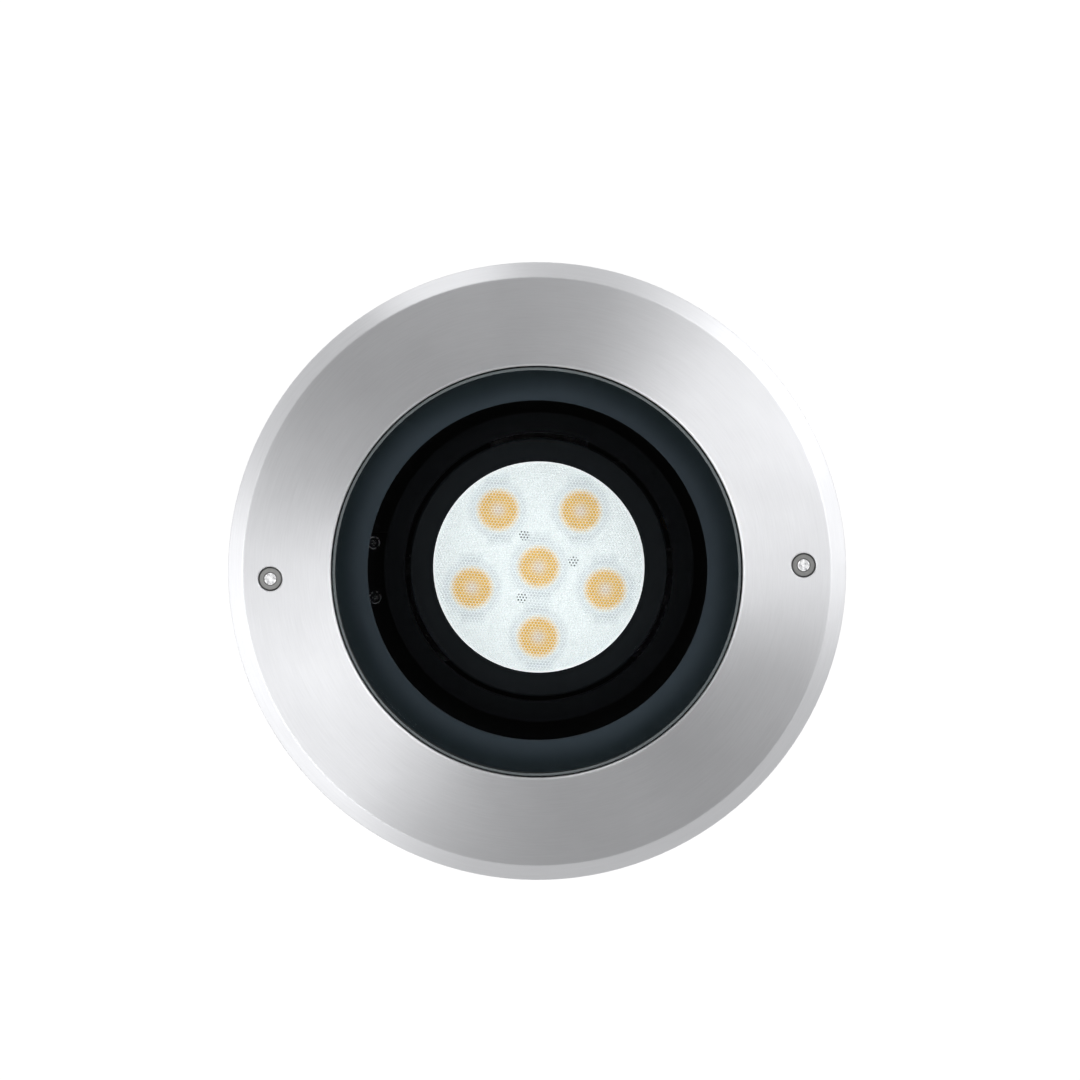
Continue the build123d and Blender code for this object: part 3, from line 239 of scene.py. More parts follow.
class Finish:
    """A material or the world while its nodes are made."""

    def __init__(self, owner):
        self.owner = owner
        owner.use_nodes = True
        self.tree = owner.node_tree
        self.tree.nodes.clear()

    def node(self, kind, settings=None, sockets=None, out=0):
        """Adds a node: settings are set first, then each socket's value or link. Gives one of its outputs."""
        made = self.tree.nodes.new(kind)
        for name, value in (settings or {}).items():
            setattr(made, name, value)
        for name, value in (sockets or {}).items():
            if isinstance(value, Value):
                self.tree.links.new(value.socket, made.inputs[name])
            else:
                made.inputs[name].default_value = value
        return Value(self, made.outputs[out])

    def place(self):
        """Object coordinates of the point that is shaded, as three values."""
        self.where = self.node("ShaderNodeTexCoord", out="Object")
        return [self.node("ShaderNodeSeparateXYZ", sockets={0: self.where}, out=axis) for axis in "XYZ"]

    def vector(self, x, y, z):
        return self.node("ShaderNodeCombineXYZ", sockets={0: x, 1: y, 2: z})

    def noise(self, vector, scale, detail=2.0, roughness=0.5):
        """Noise from 0 to 1 with the given number of features in a metre."""
        sockets = {"Vector": vector, "Scale": scale, "Detail": detail, "Roughness": roughness}
        return self.node("ShaderNodeTexNoise", sockets=sockets)

    def from_axes(self, x, y, places):
        """Distance from the nearest of several upright axes."""
        nearest = None
        for across, up in places:
            away = ((x - across) * (x - across) + (y - up) * (y - up)).root()
            nearest = nearest.least(away) if nearest else away
        return nearest

    def blend(self, factor, first, second):
        """Colour that goes from first to second."""
        first, second = ((*c, 1.0) if isinstance(c, tuple) else c for c in (first, second))
        settings = {"data_type": "RGBA"}
        return self.node("ShaderNodeMix", settings, {0: factor, 6: first, 7: second}, out=2)

    def bump(self, height, depth, strength=1.0, **sockets):
        """Normal of a surface whose height goes from 0 to 1 over a depth in metres."""
        sockets.update(Height=height, Distance=depth, Strength=strength)
        return self.node("ShaderNodeBump", sockets=sockets)

    def surface(self, **sockets):
        """The Principled shader with these sockets, their names written with _ for a space."""
        named = {name.replace("_", " "): value for name, value in sockets.items()}
        for name, value in named.items():
            if isinstance(value, tuple) and len(value) == 3:
                named[name] = (*value, 1.0)
        return self.node("ShaderNodeBsdfPrincipled", sockets=named)

    def show(self, shader, kind="ShaderNodeOutputMaterial"):
        """Ends the node tree with its shader."""
        output = self.tree.nodes.new(kind)
        self.tree.links.new(shader.socket, output.inputs["Surface"])
        return self.owner


def new_finish(name):
    """A finish for a new material."""
    return Finish(bpy.data.materials.new(name))


def plain(values):
    """A property's colour as a plain tuple."""
    return tuple(values[:3])


def polar(radius, turn):
    """Place on a circle about the Z axis."""
    return (radius * cos(turn), radius * sin(turn))


def led_places(sizes):
    """Places of the six LEDs: one in the middle and five round it."""
    return [(0.0, 0.0)] + [polar(sizes.spot_circle, sizes.spot_angle + n * 2 * pi / 5) for n in range(5)]


def toned(values, factor):
    """A colour made lighter or darker."""
    return tuple(min(1.0, v * factor) for v in values[:3])


# ---------------------------------------------------------------- finishes


def lathe_brushed(name, shade, roughness):
    """Steel brushed on a lathe: its grooves run round the Z axis, some of them deep enough to be seen;
    painted light makes it lighter towards +Y and darker towards -Y.
    """
    f = new_finish(name)
    x, y, z = f.place()
    radius = (x * x + y * y).root().most(0.1 * MM)
    fine = f.noise(f.vector(radius / (0.1 * MM), x / radius * 3.0, y / radius * 3.0), 1.0, detail=3.0)
    grooves = f.vector(radius / (0.6 * MM), x / radius * 8.0, y / radius * 8.0)
    lines = f.noise(grooves, 1.0, detail=4.0, roughness=0.7)
    cloud = f.noise(f.where, 24.0, detail=3.0)
    # Grain and cloud, plus painted light: the y term lightens the ring towards +Y and darkens it towards -Y.
    grain_and_painted_side_light = lines * 0.35 + cloud * 0.45 + fine * 0.2 + y * 1.2
    rounded = f.node("ShaderNodeBevel", sockets={"Radius": 0.9 * MM})
    return f.show(
        f.surface(
            Base_Color=f.blend(grain_and_painted_side_light.step(0.25, 0.75), toned(shade, 0.93), toned(shade, 1.07)),
            Metallic=1.0,
            Roughness=fine * 0.06 + cloud * 0.04 + (roughness - 0.05),
            Anisotropic=0.86,
            Anisotropic_Rotation=0.25,
            Normal=f.bump(fine, 0.0015 * MM, Normal=rounded),
        )
    )


def security_screws(name, shade, places, sizes):
    """Steel screws in a satin head, with painted light: a painted highlight fills the socket, and painted
    shade darkens a ring round the socket and the head's edge where it meets its counterbore.
    """
    f = new_finish(name)
    x, y, z = f.place()
    away = f.from_axes(x, y, places)
    marks = f.noise(f.where, 2600.0, detail=4.0, roughness=0.65)
    scuffs = f.noise(f.where, 900.0, detail=2.0)
    head = z.step(sizes.screw_face - 3.6 * MM, sizes.screw_face - 3.4 * MM)
    thread = (z * (2 * pi / (0.8 * MM))).math("SINE") * (1 - head)
    # Painted highlight: the socket is painted white and not metallic, mottled with grey by the scuffs noise.
    socket = away.step(sizes.socket_radius + 0.08 * MM, sizes.socket_radius - 0.08 * MM) * head
    # Painted shade: a dark ring round the socket, and a dark ring at the head's edge where it meets its
    # counterbore.
    socket_rim_shade = away.step(sizes.socket_radius + 0.5 * MM, sizes.socket_radius + 0.15 * MM) * head
    edge = away.step(sizes.head_radius - 0.75 * MM, sizes.head_radius - 0.25 * MM) * head
    tint = f.blend(scuffs, toned(shade, 0.82), toned(shade, 1.0))
    tint = f.blend(socket_rim_shade.most(edge) * 0.8, tint, toned(shade, 0.16))
    tint = f.blend(socket, tint, f.blend(scuffs.step(0.35, 0.6), (0.60, 0.60, 0.62), (1.0, 1.0, 1.0)))
    return f.show(
        f.surface(
            Base_Color=tint,
            Metallic=1 - socket,
            Roughness=marks * 0.16 + 0.24,
            Normal=f.bump(marks * 0.05 + thread, 0.12 * MM),
        )
    )


def black_screws(name, shade, places, head_radius):
    """Blackened steel screws with painted highlights: bright arcs broken along the head edges, and glints
    near the middle where the cross recess is.
    """
    f = new_finish(name)
    x, y, z = f.place()
    away = f.from_axes(x, y, places)
    # Painted highlights: bright arcs on the head edges and glints near the middle, standing in for
    # reflections.
    glint_arcs = f.noise(f.where, 420.0, detail=3.0, roughness=0.6).step(0.40, 0.50)
    edge = away.step(head_radius - 0.5 * MM, head_radius - 0.35 * MM) * glint_arcs
    cross_glints = f.noise(f.where, 2200.0, detail=2.0).step(0.5, 0.6)
    bright = edge.most(away.step(1.3 * MM, 0.9 * MM) * cross_glints * 0.4)
    marks = f.noise(f.where, 2600.0, detail=4.0)
    return f.show(
        f.surface(
            Base_Color=f.blend(bright, shade, (0.95, 0.96, 0.97)),
            Metallic=bright * 0.3,
            Roughness=marks * 0.15 + bright * 0.25 + 0.3,
            Specular_IOR_Level=0.1,
            Normal=f.bump(marks, 0.006 * MM),
        )
    )


def plain_steel(name, shade, roughness):
    """Cold-headed or rolled metal with faint tool marks and handling scuffs."""
    f = new_finish(name)
    f.place()
    marks = f.noise(f.where, 2600.0, detail=4.0, roughness=0.65)
    scuffs = f.noise(f.where, 240.0, detail=2.0)
    return f.show(
        f.surface(
            Base_Color=f.blend(scuffs, toned(shade, 0.92), toned(shade, 1.04)),
            Metallic=1.0,
            Roughness=marks * 0.16 + scuffs * 0.1 + (roughness - 0.13),
            Normal=f.bump(marks, 0.006 * MM),
        )
    )


def coated(name, shade, roughness, specular):
    """Powder coat: a fine orange peel with slight changes of gloss."""
    f = new_finish(name)
    f.place()
    peel = f.noise(f.where, 1 / (0.35 * MM), detail=2.0)
    cloud = f.noise(f.where, 60.0, detail=3.0)
    return f.show(
        f.surface(
            Base_Color=f.blend(cloud, toned(shade, 0.85), toned(shade, 1.15)),
            Roughness=peel * 0.12 + cloud * 0.08 + (roughness - 0.1),
            Specular_IOR_Level=specular,
            Normal=f.bump(peel, 0.006 * MM),
        )
    )


def anodised_casting(name, shade):
    """Die-cast aluminium under black anodising: flow marks and a slightly pitted skin."""
    f = new_finish(name)
    x, y, z = f.place()
    flow = f.noise(f.vector(x * 0.35, y, z), 110.0, detail=5.0, roughness=0.6)
    skin = f.noise(f.where, 1900.0, detail=3.0, roughness=0.6)
    pits = f.node("ShaderNodeTexVoronoi", sockets={"Vector": f.where, "Scale": 700.0}).step(0.16, 0.3)
    return f.show(
        f.surface(
            Base_Color=f.blend(flow, toned(shade, 0.7), toned(shade, 1.4)),
            Roughness=skin * 0.2 + flow * 0.1 + 0.3,
            Specular_IOR_Level=0.2,
            Normal=f.bump(skin * 0.5 + pits * 0.5, 0.03 * MM, 0.6),
        )
    )


def moulded(name, shade, roughness, texture=0.5 * MM, depth=0.02 * MM):
    """Moulded plastic: spark-eroded grain, faint flow marks and scuffs."""
    f = new_finish(name)
    x, y, z = f.place()
    grain = f.node("ShaderNodeTexVoronoi", sockets={"Vector": f.where, "Scale": 1 / texture})
    fine = f.noise(f.where, 2 / texture, detail=3.0)
    flow = f.noise(f.vector(x, y, z * 0.3), 28.0, detail=4.0, roughness=0.55)
    scuffs = f.noise(f.where, 130.0, detail=6.0, roughness=0.75).step(0.56, 0.68)
    height = grain * 0.6 + fine * 0.4
    tint = f.blend(flow, toned(shade, 0.78), toned(shade, 1.25))
    return f.show(
        f.surface(
            Base_Color=f.blend(scuffs * 0.18, tint, tuple(0.5 * v + 0.12 for v in shade[:3])),
            Roughness=fine * 0.12 + flow * 0.14 + scuffs * 0.15 + (roughness - 0.13),
            Normal=f.bump(height, depth),
        )
    )


def soft_rubber(name, shade, roughness=0.7):
    """Rubber or silicone: a dull skin with a trace of bloom."""
    f = new_finish(name)
    f.place()
    skin = f.noise(f.where, 1500.0, detail=3.0)
    bloom = f.noise(f.where, 45.0, detail=4.0, roughness=0.6)
    return f.show(
        f.surface(
            Base_Color=f.blend(bloom, toned(shade, 0.8), toned(shade, 1.5)),
            Roughness=skin * 0.1 + bloom * 0.1 + (roughness - 0.1),
            Specular_IOR_Level=0.35,
            Normal=f.bump(skin, 0.012 * MM),
        )
    )


def knurled_brass(name, shade, axis_x):
    """Brass inserts at both sides of the Z axis, with crossed knurling round them."""
    f = new_finish(name)
    x, y, z = f.place()
    turn = y.math("ARCTAN2", x.math("ABSOLUTE") - axis_x) * 30.0
    climb = z * (2 * pi / (1.4 * MM))
    knurl = (turn + climb).math("SINE") * (turn - climb).math("SINE")
    scuffs = f.noise(f.where, 500.0, detail=3.0)
    return f.show(
        f.surface(
            Base_Color=f.blend(scuffs, toned(shade, 0.85), toned(shade, 1.08)),
            Metallic=1.0,
            Roughness=scuffs * 0.15 + 0.2,
            Normal=f.bump(knurl, 0.25 * MM),
        )
    )


def led_packages(name, body, phosphor, dome_level):
    """White LED bodies under amber domes."""
    f = new_finish(name)
    x, y, z = f.place()
    grain = f.noise(f.where, 4200.0, detail=2.0)
    dome = z.step(dome_level, dome_level + 0.1 * MM)
    amber = f.blend(grain, toned(phosphor, 0.85), toned(phosphor, 1.1))
    return f.show(
        f.surface(
            Base_Color=f.blend(dome, body, amber),
            Roughness=grain * 0.1 + 0.12,
            Coat_Weight=dome * 0.8,
        )
    )


def circuit_board(name, mask, leds):
    """White solder mask over ring-shaped tracks, with bare pads round the LEDs."""
    f = new_finish(name)
    x, y, z = f.place()
    radius = (x * x + y * y).root()
    away = f.from_axes(x, y, leds)
    tracks = (radius * (2 * pi / (5.2 * MM))).math("SINE").step(0.55, 0.7)
    pads = away.step(3.1 * MM, 3.0 * MM) * away.step(2.5 * MM, 2.6 * MM)
    grain = f.noise(f.where, 1500.0, detail=2.0)
    return f.show(
        f.surface(
            Base_Color=f.blend(pads, f.blend(tracks * 0.2, mask, toned(mask, 0.8)), (0.75, 0.62, 0.36)),
            Roughness=grain * 0.1 + 0.28,
            Metallic=pads,
            Normal=f.bump(tracks * 0.5 + grain * 0.1, 0.04 * MM),
        )
    )


def wire_jackets(name, pitch):
    """Three insulated wires side by side along X: brown, blue, and green with yellow bands."""
    f = new_finish(name)
    x, y, z = f.place()
    bands = ((y + z) * (2 * pi / (5 * MM))).math("SINE").step(-0.2, 0.2)
    skin = f.noise(f.where, 900.0, detail=2.0)
    earth = f.blend(bands, (0.05, 0.28, 0.05), (0.80, 0.62, 0.04))
    tint = f.blend(x.step(-0.55 * pitch, -0.45 * pitch), (0.13, 0.045, 0.016), (0.02, 0.07, 0.32))
    return f.show(
        f.surface(
            Base_Color=f.blend(x.step(0.45 * pitch, 0.55 * pitch), tint, earth),
            Roughness=skin * 0.15 + 0.32,
            Normal=f.bump(skin, 0.01 * MM),
        )
    )


def flush_glass(name, step_radius):
    """Toughened glass: polished faces pass light straight through, the chamfer is ground, and the rim is
    painted dark as the shade in the gap beside and under the cover ring.
    """
    f = new_finish(name)
    x, y, z = f.place()
    radius = (x * x + y * y).root()
    normal = f.node("ShaderNodeNewGeometry", out="Normal")
    slope = f.node("ShaderNodeSeparateXYZ", sockets={0: normal}, out="Z").math("ABSOLUTE")
    ground = slope.step(0.97, 0.9) * 0.36
    side = radius.step(step_radius - 0.12 * MM, step_radius - 0.04 * MM)
    smear = f.noise(f.where, 35.0, detail=4.0)
    see = f.node("ShaderNodeBsdfTransparent", sockets={"Color": (0.985, 0.995, 1.0, 1.0)})
    # Painted shade: the glass's side is an opaque near-black surface, where the gap beside the cover ring
    # lies in shade.
    rim = f.surface(Base_Color=f.blend(side, (0.30, 0.34, 0.35), (0.010, 0.013, 0.014)), Roughness=0.45)
    gloss = f.node("ShaderNodeBsdfGlossy", sockets={"Color": WHITE, "Roughness": smear * 0.01})
    body = f.node("ShaderNodeMixShader", sockets={0: ground.most(side), 1: see, 2: rim})
    facing = f.node("ShaderNodeLayerWeight", sockets={"Blend": 0.5}, out="Facing")
    mirror = facing.math("POWER", 5.0) * 0.96 + 0.04
    return f.show(f.node("ShaderNodeMixShader", sockets={0: mirror, 1: body, 2: gloss}))


def graded_coat(name, inner, outer, low, high):
    """Satin coat on a flat ring, with painted shade that darkens it towards its outer edge, where the cover
    ring shades it.
    """
    f = new_finish(name)
    x, y, z = f.place()
    radius = (x * x + y * y).root()
    cloud = f.noise(f.where, 16.0, detail=2.0)
    peel = f.noise(f.where, 2800.0, detail=2.0)
    shift = radius + (cloud - 0.5) * 9 * MM
    return f.show(
        f.surface(
            # Painted shade: the colour goes from inner to the darker outer between the low and high radii.
            Base_Color=f.blend(shift.step(low, high), inner, outer),
            Roughness=peel * 0.12 + 0.45,
            Specular_IOR_Level=0.12,
            Normal=f.bump(peel, 0.01 * MM),
        )
    )


def honeycomb_lens(name, sizes, colours):
    """Milky lens: each cell shows the LED or screw below it as a small spot, between pale cell edges; a
    painted glow, full on the rim, lifts it against the shade of the well.
    """
    f = new_finish(name)
    x, y, z = f.place()
    radius = (x * x + y * y).root()
    rise = (z - (LENS_HIGH.z - sizes.cell_height)) / sizes.cell_height
    core = rise.step(0.35, 0.6)
    leds = led_places(sizes)
    speckle = f.noise(f.where, 900.0, detail=2.0)
    spot = f.from_axes(x, y, leds) + (speckle - 0.5) * 0.9 * MM + (1 - core) * 0.5 * MM
    amber = spot.step(0.6 * MM, 4.4 * MM) * spot.step(9.0 * MM, 5.8 * MM)
    heart = spot.step(6.0 * MM, 2.0 * MM)
    halo = spot.step(6.6 * MM, 9.0 * MM) * spot.step(12.2 * MM, 9.6 * MM)
    lens = plain(colours.lens)
    patch = f.noise(f.where, 85.0, detail=1.0).step(0.55, 0.75)
    pale = f.blend(patch * 0.2, lens, (0.95, 0.97, 0.97))
    pale = f.blend(amber * 0.5 + heart * 0.2, pale, (0.86, 0.68, 0.34))
    deep = f.blend(halo * 0.34, lens, (0.40, 0.42, 0.46))
    deep = f.blend(heart * 0.8, deep, (0.66, 0.44, 0.30))
    deep = f.blend(amber, deep, plain(colours.amber))
    for across, up in leds:
        beside = (x - across).math("ABSOLUTE").step(5.6 * MM, 3.6 * MM)
        beyond = (y - up).math("ABSOLUTE")
        rows = beyond.step(8.5 * MM, 10.0 * MM) * beyond.step(14.2 * MM, 11.5 * MM) * beside
        deep = f.blend(rows * 0.3, deep, (0.40, 0.44, 0.48))
    tint = f.blend(core, pale, deep)
    screws = [polar(sizes.screw_circle, radians(turn)) for turn in BOARD_SCREW_TURNS]
    over_screw = f.from_axes(x, y, screws).step(sizes.screw_spot_radius * 1.1, sizes.screw_spot_radius * 0.9)
    tint = f.blend(over_screw * rise.step(0.72, 0.9) * 0.92, tint, (0.035, 0.04, 0.045))
    # Painted highlight: the rim is painted lighter and gets the full painted glow.
    rim = radius.step(LENS_HIGH.x - sizes.rim_width, LENS_HIGH.x - 0.9 * sizes.rim_width)
    tint = f.blend(rim, tint, (0.97, 0.98, 0.98))
    # Painted glow: emission that lights the lens although it is no lamp, white on the rim and at 0.45 of its
    # colour over the cells.
    painted_glow_colour = f.blend(rim, f.blend(0.55, tint, (0.0, 0.0, 0.0)), (1.0, 1.0, 1.0))
    return f.show(
        f.surface(
            Base_Color=tint,
            Roughness=speckle * 0.08 + 0.3,
            Specular_IOR_Level=0.3,
            Emission_Color=painted_glow_colour,
            Emission_Strength=sizes.painted_glow,
        )
    )


# ---------------------------------------------------------------- putting finishes on nodes


def finish_node(name, material):
    """Puts one material on a node of the frame."""
    for material_slot in NODES[name].material_slots:
        material_slot.material = material


def deselect():
    """Leaves nothing selected and no active object."""
    for picked in bpy.context.selected_objects:
        picked.select_set(False)
    bpy.context.view_layer.objects.active = None


def edit_mesh(piece):
    """The piece's mesh as bmesh, while it is in edit mode."""
    return bmesh.from_edit_mesh(piece.data)


def settle(piece, name, material, body):
    """Names a finished piece, rides it on its body and gives it its finish."""
    bpy.ops.object.transform_apply(location=True, rotation=True, scale=True)
    piece.name = name
    piece.data.name = name
    piece.data.materials.clear()
    piece.data.materials.append(material)
    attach(piece, body)


class WELLLIGHT_OT_face(bpy.types.Operator):
    """Finish the stainless ring, its screws, the glass and the ring under it"""

    bl_idname = "welllight.face"
    bl_label = "Finish the face"

    def execute(self, context):
        colours = context.scene.welllight_face_colours
        sizes = context.scene.welllight_face_sizes
        finish_node("cover_ring", lathe_brushed("brushed_stainless", plain(colours.steel), 0.36))
        finish_node("clamp_ring", lathe_brushed("turned_stainless", toned(colours.steel, 0.85), 0.3))
        screw_steel = plain_steel("screw_steel", plain(colours.screw), 0.3)
        for name in (
            "clamp_screws", "board_screws", "tray_screws", "driver_screws", "terminal_screws", "base_screws",
        ):
            finish_node(name, screw_steel)
        cover_axes = [(side * sizes.cover_axis, 0.0) for side in (-1, 1)]
        security = security_screws("security_steel", plain(colours.screw), cover_axes, sizes)
        finish_node("cover_screws", security)
        bracket_axes = [(-sizes.bracket_axis, side * sizes.bracket_side) for side in (-1, 1)]
        black = plain(colours.black)
        finish_node("bracket_screws", black_screws("black_screws", black, bracket_axes, sizes.bracket_head))
        finish_node("pivot_screws", coated("black_pivots", black, 0.5, 0.1))
        finish_node("glass", flush_glass("toughened_glass", sizes.glass_step))
        mask = graded_coat(
            "charcoal_coat", plain(colours.mask), plain(colours.mask_edge), sizes.mask_low, sizes.mask_high
        )
        finish_node("mask_ring", mask)
        return {"FINISHED"}


class WELLLIGHT_OT_well(bpy.types.Operator):
    """Finish the pot, the turntable and the bezel"""

    bl_idname = "welllight.well"
    bl_label = "Finish the well"

    def execute(self, context):
        colours = context.scene.welllight_face_colours
        black_coat = coated("black_coat", plain(colours.well), 0.6, 0.05)
        for name in ("lamp_housing", "turntable", "tilt_bracket"):
            finish_node(name, black_coat)
        finish_node("lens_bezel", coated("bezel_black", plain(colours.bezel), 0.55, 0.08))
        finish_node("snap_ring", plain_steel("spring_steel", (0.20, 0.20, 0.21), 0.4))
        return {"FINISHED"}


class WELLLIGHT_OT_lens(bpy.types.Operator):
    """Model the honeycomb lens: one cell, repeated in rows, trimmed to a disc on a plain rim"""

    bl_idname = "welllight.lens"
    bl_label = "Model the honeycomb lens"

    def execute(self, context):
        sizes = context.scene.welllight_lens_sizes
        cells = self.rows_of_cells(sizes)
        self.trim_to_disc(cells, sizes)
        plate = self.rimmed_plate(sizes)
        deselect()
        cells.select_set(True)
        plate.select_set(True)
        bpy.context.view_layer.objects.active = plate
        bpy.ops.object.join()
        finish = honeycomb_lens("honeycomb_lens", sizes, context.scene.welllight_face_colours)
        settle(plate, "honeycomb_lens", finish, "lamp_head")
        for face in plate.data.polygons:
            face.use_smooth = False
        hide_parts("lens_plate")
        return {"FINISHED"}

    @staticmethod
    def rows_of_cells(sizes):
        """One domed cell, arrayed to a rhombus of rows whose middle is on the Z axis."""
        pitch = sizes.cell_pitch
        cell_radius = pitch / sqrt(3)
        row_pitch = pitch * sqrt(3) / 2
        across = int(2 * LENS_HIGH.x / pitch) + 2
        rows = int(2 * LENS_HIGH.x / row_pitch) + 2
        wide = across + rows // 2
        start_x = -(wide - 1) / 2 * pitch - (rows - 1) / 4 * pitch
        start = Vector((start_x, -(rows - 1) / 2 * row_pitch, LENS_HIGH.z - sizes.cell_height))
        deselect()
        bpy.ops.mesh.primitive_circle_add(
            vertices=6, radius=cell_radius, fill_type="NGON", location=start, rotation=(0, 0, pi / 6)
        )
        cell = bpy.context.active_object
        bpy.ops.object.mode_set(mode="EDIT")
        bpy.ops.mesh.select_all(action="SELECT")
        for inset, rise in ((0.24, 0.6), (0.36, 0.4)):
            bpy.ops.mesh.inset(thickness=inset * cell_radius, depth=rise * sizes.cell_height)
        bpy.ops.object.mode_set(mode="OBJECT")
        bpy.ops.object.transform_apply(location=False, rotation=True, scale=True)
        for count, offset in ((wide, (pitch, 0, 0)), (rows, (pitch / 2, row_pitch, 0))):
            array = cell.modifiers.new("row", "ARRAY")
            array.count = count
            array.use_relative_offset = False
            array.use_constant_offset = True
            array.constant_offset_displace = offset
            array.use_merge_vertices = True
            array.merge_threshold = 0.05 * pitch
            bpy.ops.object.modifier_apply(modifier=array.name)
        bpy.ops.object.transform_apply(location=True, rotation=True, scale=True)
        return cell

    @staticmethod
    def trim_to_disc(cells, sizes):
        """Drops the faces outside the disc, turns the rows and closes the sheet downwards."""
        reach = LENS_HIGH.x - 0.98 * sizes.rim_width
        bpy.ops.object.mode_set(mode="EDIT")
        bpy.ops.mesh.select_all(action="SELECT")
        bpy.ops.mesh.remove_doubles(threshold=0.02 * sizes.cell_pitch)
        bpy.ops.transform.rotate(value=-sizes.row_angle, orient_axis="Z", center_override=(0, 0, 0))
        bpy.ops.mesh.select_all(action="DESELECT")
        mesh = edit_mesh(cells)
        for vertex in mesh.verts:
            vertex.select_set(vertex.co.to_2d().length > reach)
        mesh.select_flush(True)
        bmesh.update_edit_mesh(cells.data)
        bpy.ops.mesh.delete(type="VERT")
        bpy.ops.mesh.select_all(action="DESELECT")
        bpy.ops.mesh.select_mode(type="EDGE")
        bpy.ops.mesh.select_non_manifold(extend=False, use_wire=False, use_multi_face=False, use_verts=False)
        bpy.ops.mesh.extrude_edges_move(TRANSFORM_OT_translate={"value": (0, 0, -0.5 * MM)})
        bpy.ops.mesh.edge_face_add()
        bpy.ops.mesh.select_all(action="SELECT")
        bpy.ops.mesh.normals_make_consistent(inside=False)
        bpy.ops.object.mode_set(mode="OBJECT")

    @staticmethod
    def rimmed_plate(sizes):
        """Round plate with a raised rim that holds the sheet of cells."""
        low = LENS_LOW.z
        sunk = LENS_HIGH.z - sizes.cell_height - 0.1 * MM
        deselect()
        bpy.ops.mesh.primitive_cylinder_add(
            vertices=192,
            radius=LENS_HIGH.x,
            depth=LENS_HIGH.z - low,
            location=(0, 0, (low + LENS_HIGH.z) / 2),
        )
        plate = bpy.context.active_object
        bpy.ops.object.mode_set(mode="EDIT")
        bpy.ops.mesh.select_all(action="DESELECT")
        mesh = edit_mesh(plate)
        for face in mesh.faces:
            face.select_set(face.normal.z > 0.9)
        bmesh.update_edit_mesh(plate.data)
        bpy.ops.mesh.inset(thickness=sizes.rim_width, depth=0)
        bpy.ops.mesh.extrude_region_move(TRANSFORM_OT_translate={"value": (0, 0, sunk - LENS_HIGH.z)})
        bpy.ops.object.mode_set(mode="OBJECT")
        bpy.ops.object.transform_apply(location=True, rotation=True, scale=True)
        return plate


class WELLLIGHT_OT_body(bpy.types.Operator):
    """Finish the buried sleeve, the entries and what the pot holds"""

    bl_idname = "welllight.body"
    bl_label = "Finish the body"

    def execute(self, context):
        colours = context.scene.welllight_body_colours
        face = context.scene.welllight_face_sizes
        leds = led_places(context.scene.welllight_lens_sizes)
        led_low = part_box("led_emitters")[0].z
        finishes = {
            moulded("sleeve_plastic", plain(colours.sleeve), 0.5): ("sleeve", "sleeve_base", "sleeve_collar"),
            moulded("adaptor_plastic", plain(colours.adaptor), 0.42): (
                "conduit_adaptors", "adaptor_locknuts",
            ),
            moulded("entry_plastic", plain(colours.entry), 0.4, 0.3 * MM, 0.01 * MM): (
                "entry_locknuts", "gland_body", "gland_nut", "blind_plug", "vent_plug",
            ),
            anodised_casting("black_anodised", plain(colours.cast)): ("heat_sink",),
            plain_steel("zinc_steel", plain(colours.zinc), 0.42): ("driver_tray", "terminal_bracket"),
            soft_rubber("rubber", plain(colours.rubber)): (
                "rim_gasket", "lead_grommet", "entry_seals", "gland_seal",
            ),
            soft_rubber("silicone", plain(colours.silicone), 0.55): ("glass_gasket", "thermal_pad"),
            plain_steel("brass", plain(colours.brass), 0.3): ("earth_screw",),
            knurled_brass("knurled_brass", plain(colours.brass), face.cover_axis): ("screw_inserts",),
            moulded("driver_case", plain(colours.case), 0.45): ("driver",),
            moulded("terminal_plastic", plain(colours.terminal), 0.4): ("terminal_block",),
            moulded("nylon", (0.012, 0.012, 0.013), 0.5): ("pivot_washers",),
            circuit_board("white_board", plain(colours.board), leds): ("led_board",),
            led_packages("led_phosphor", plain(colours.board), plain(colours.phosphor), led_low + 0.8 * MM): (
                "led_emitters",
            ),
            moulded("clear_plastic", (0.75, 0.77, 0.78), 0.1): ("collimators",),
            wire_jackets("wire_sleeve", WIRE_PITCH): ("driver_wires",),
        }
        for material, names in finishes.items():
            for name in names:
                finish_node(name, material)
        return {"FINISHED"}


# ---------------------------------------------------------------- studio


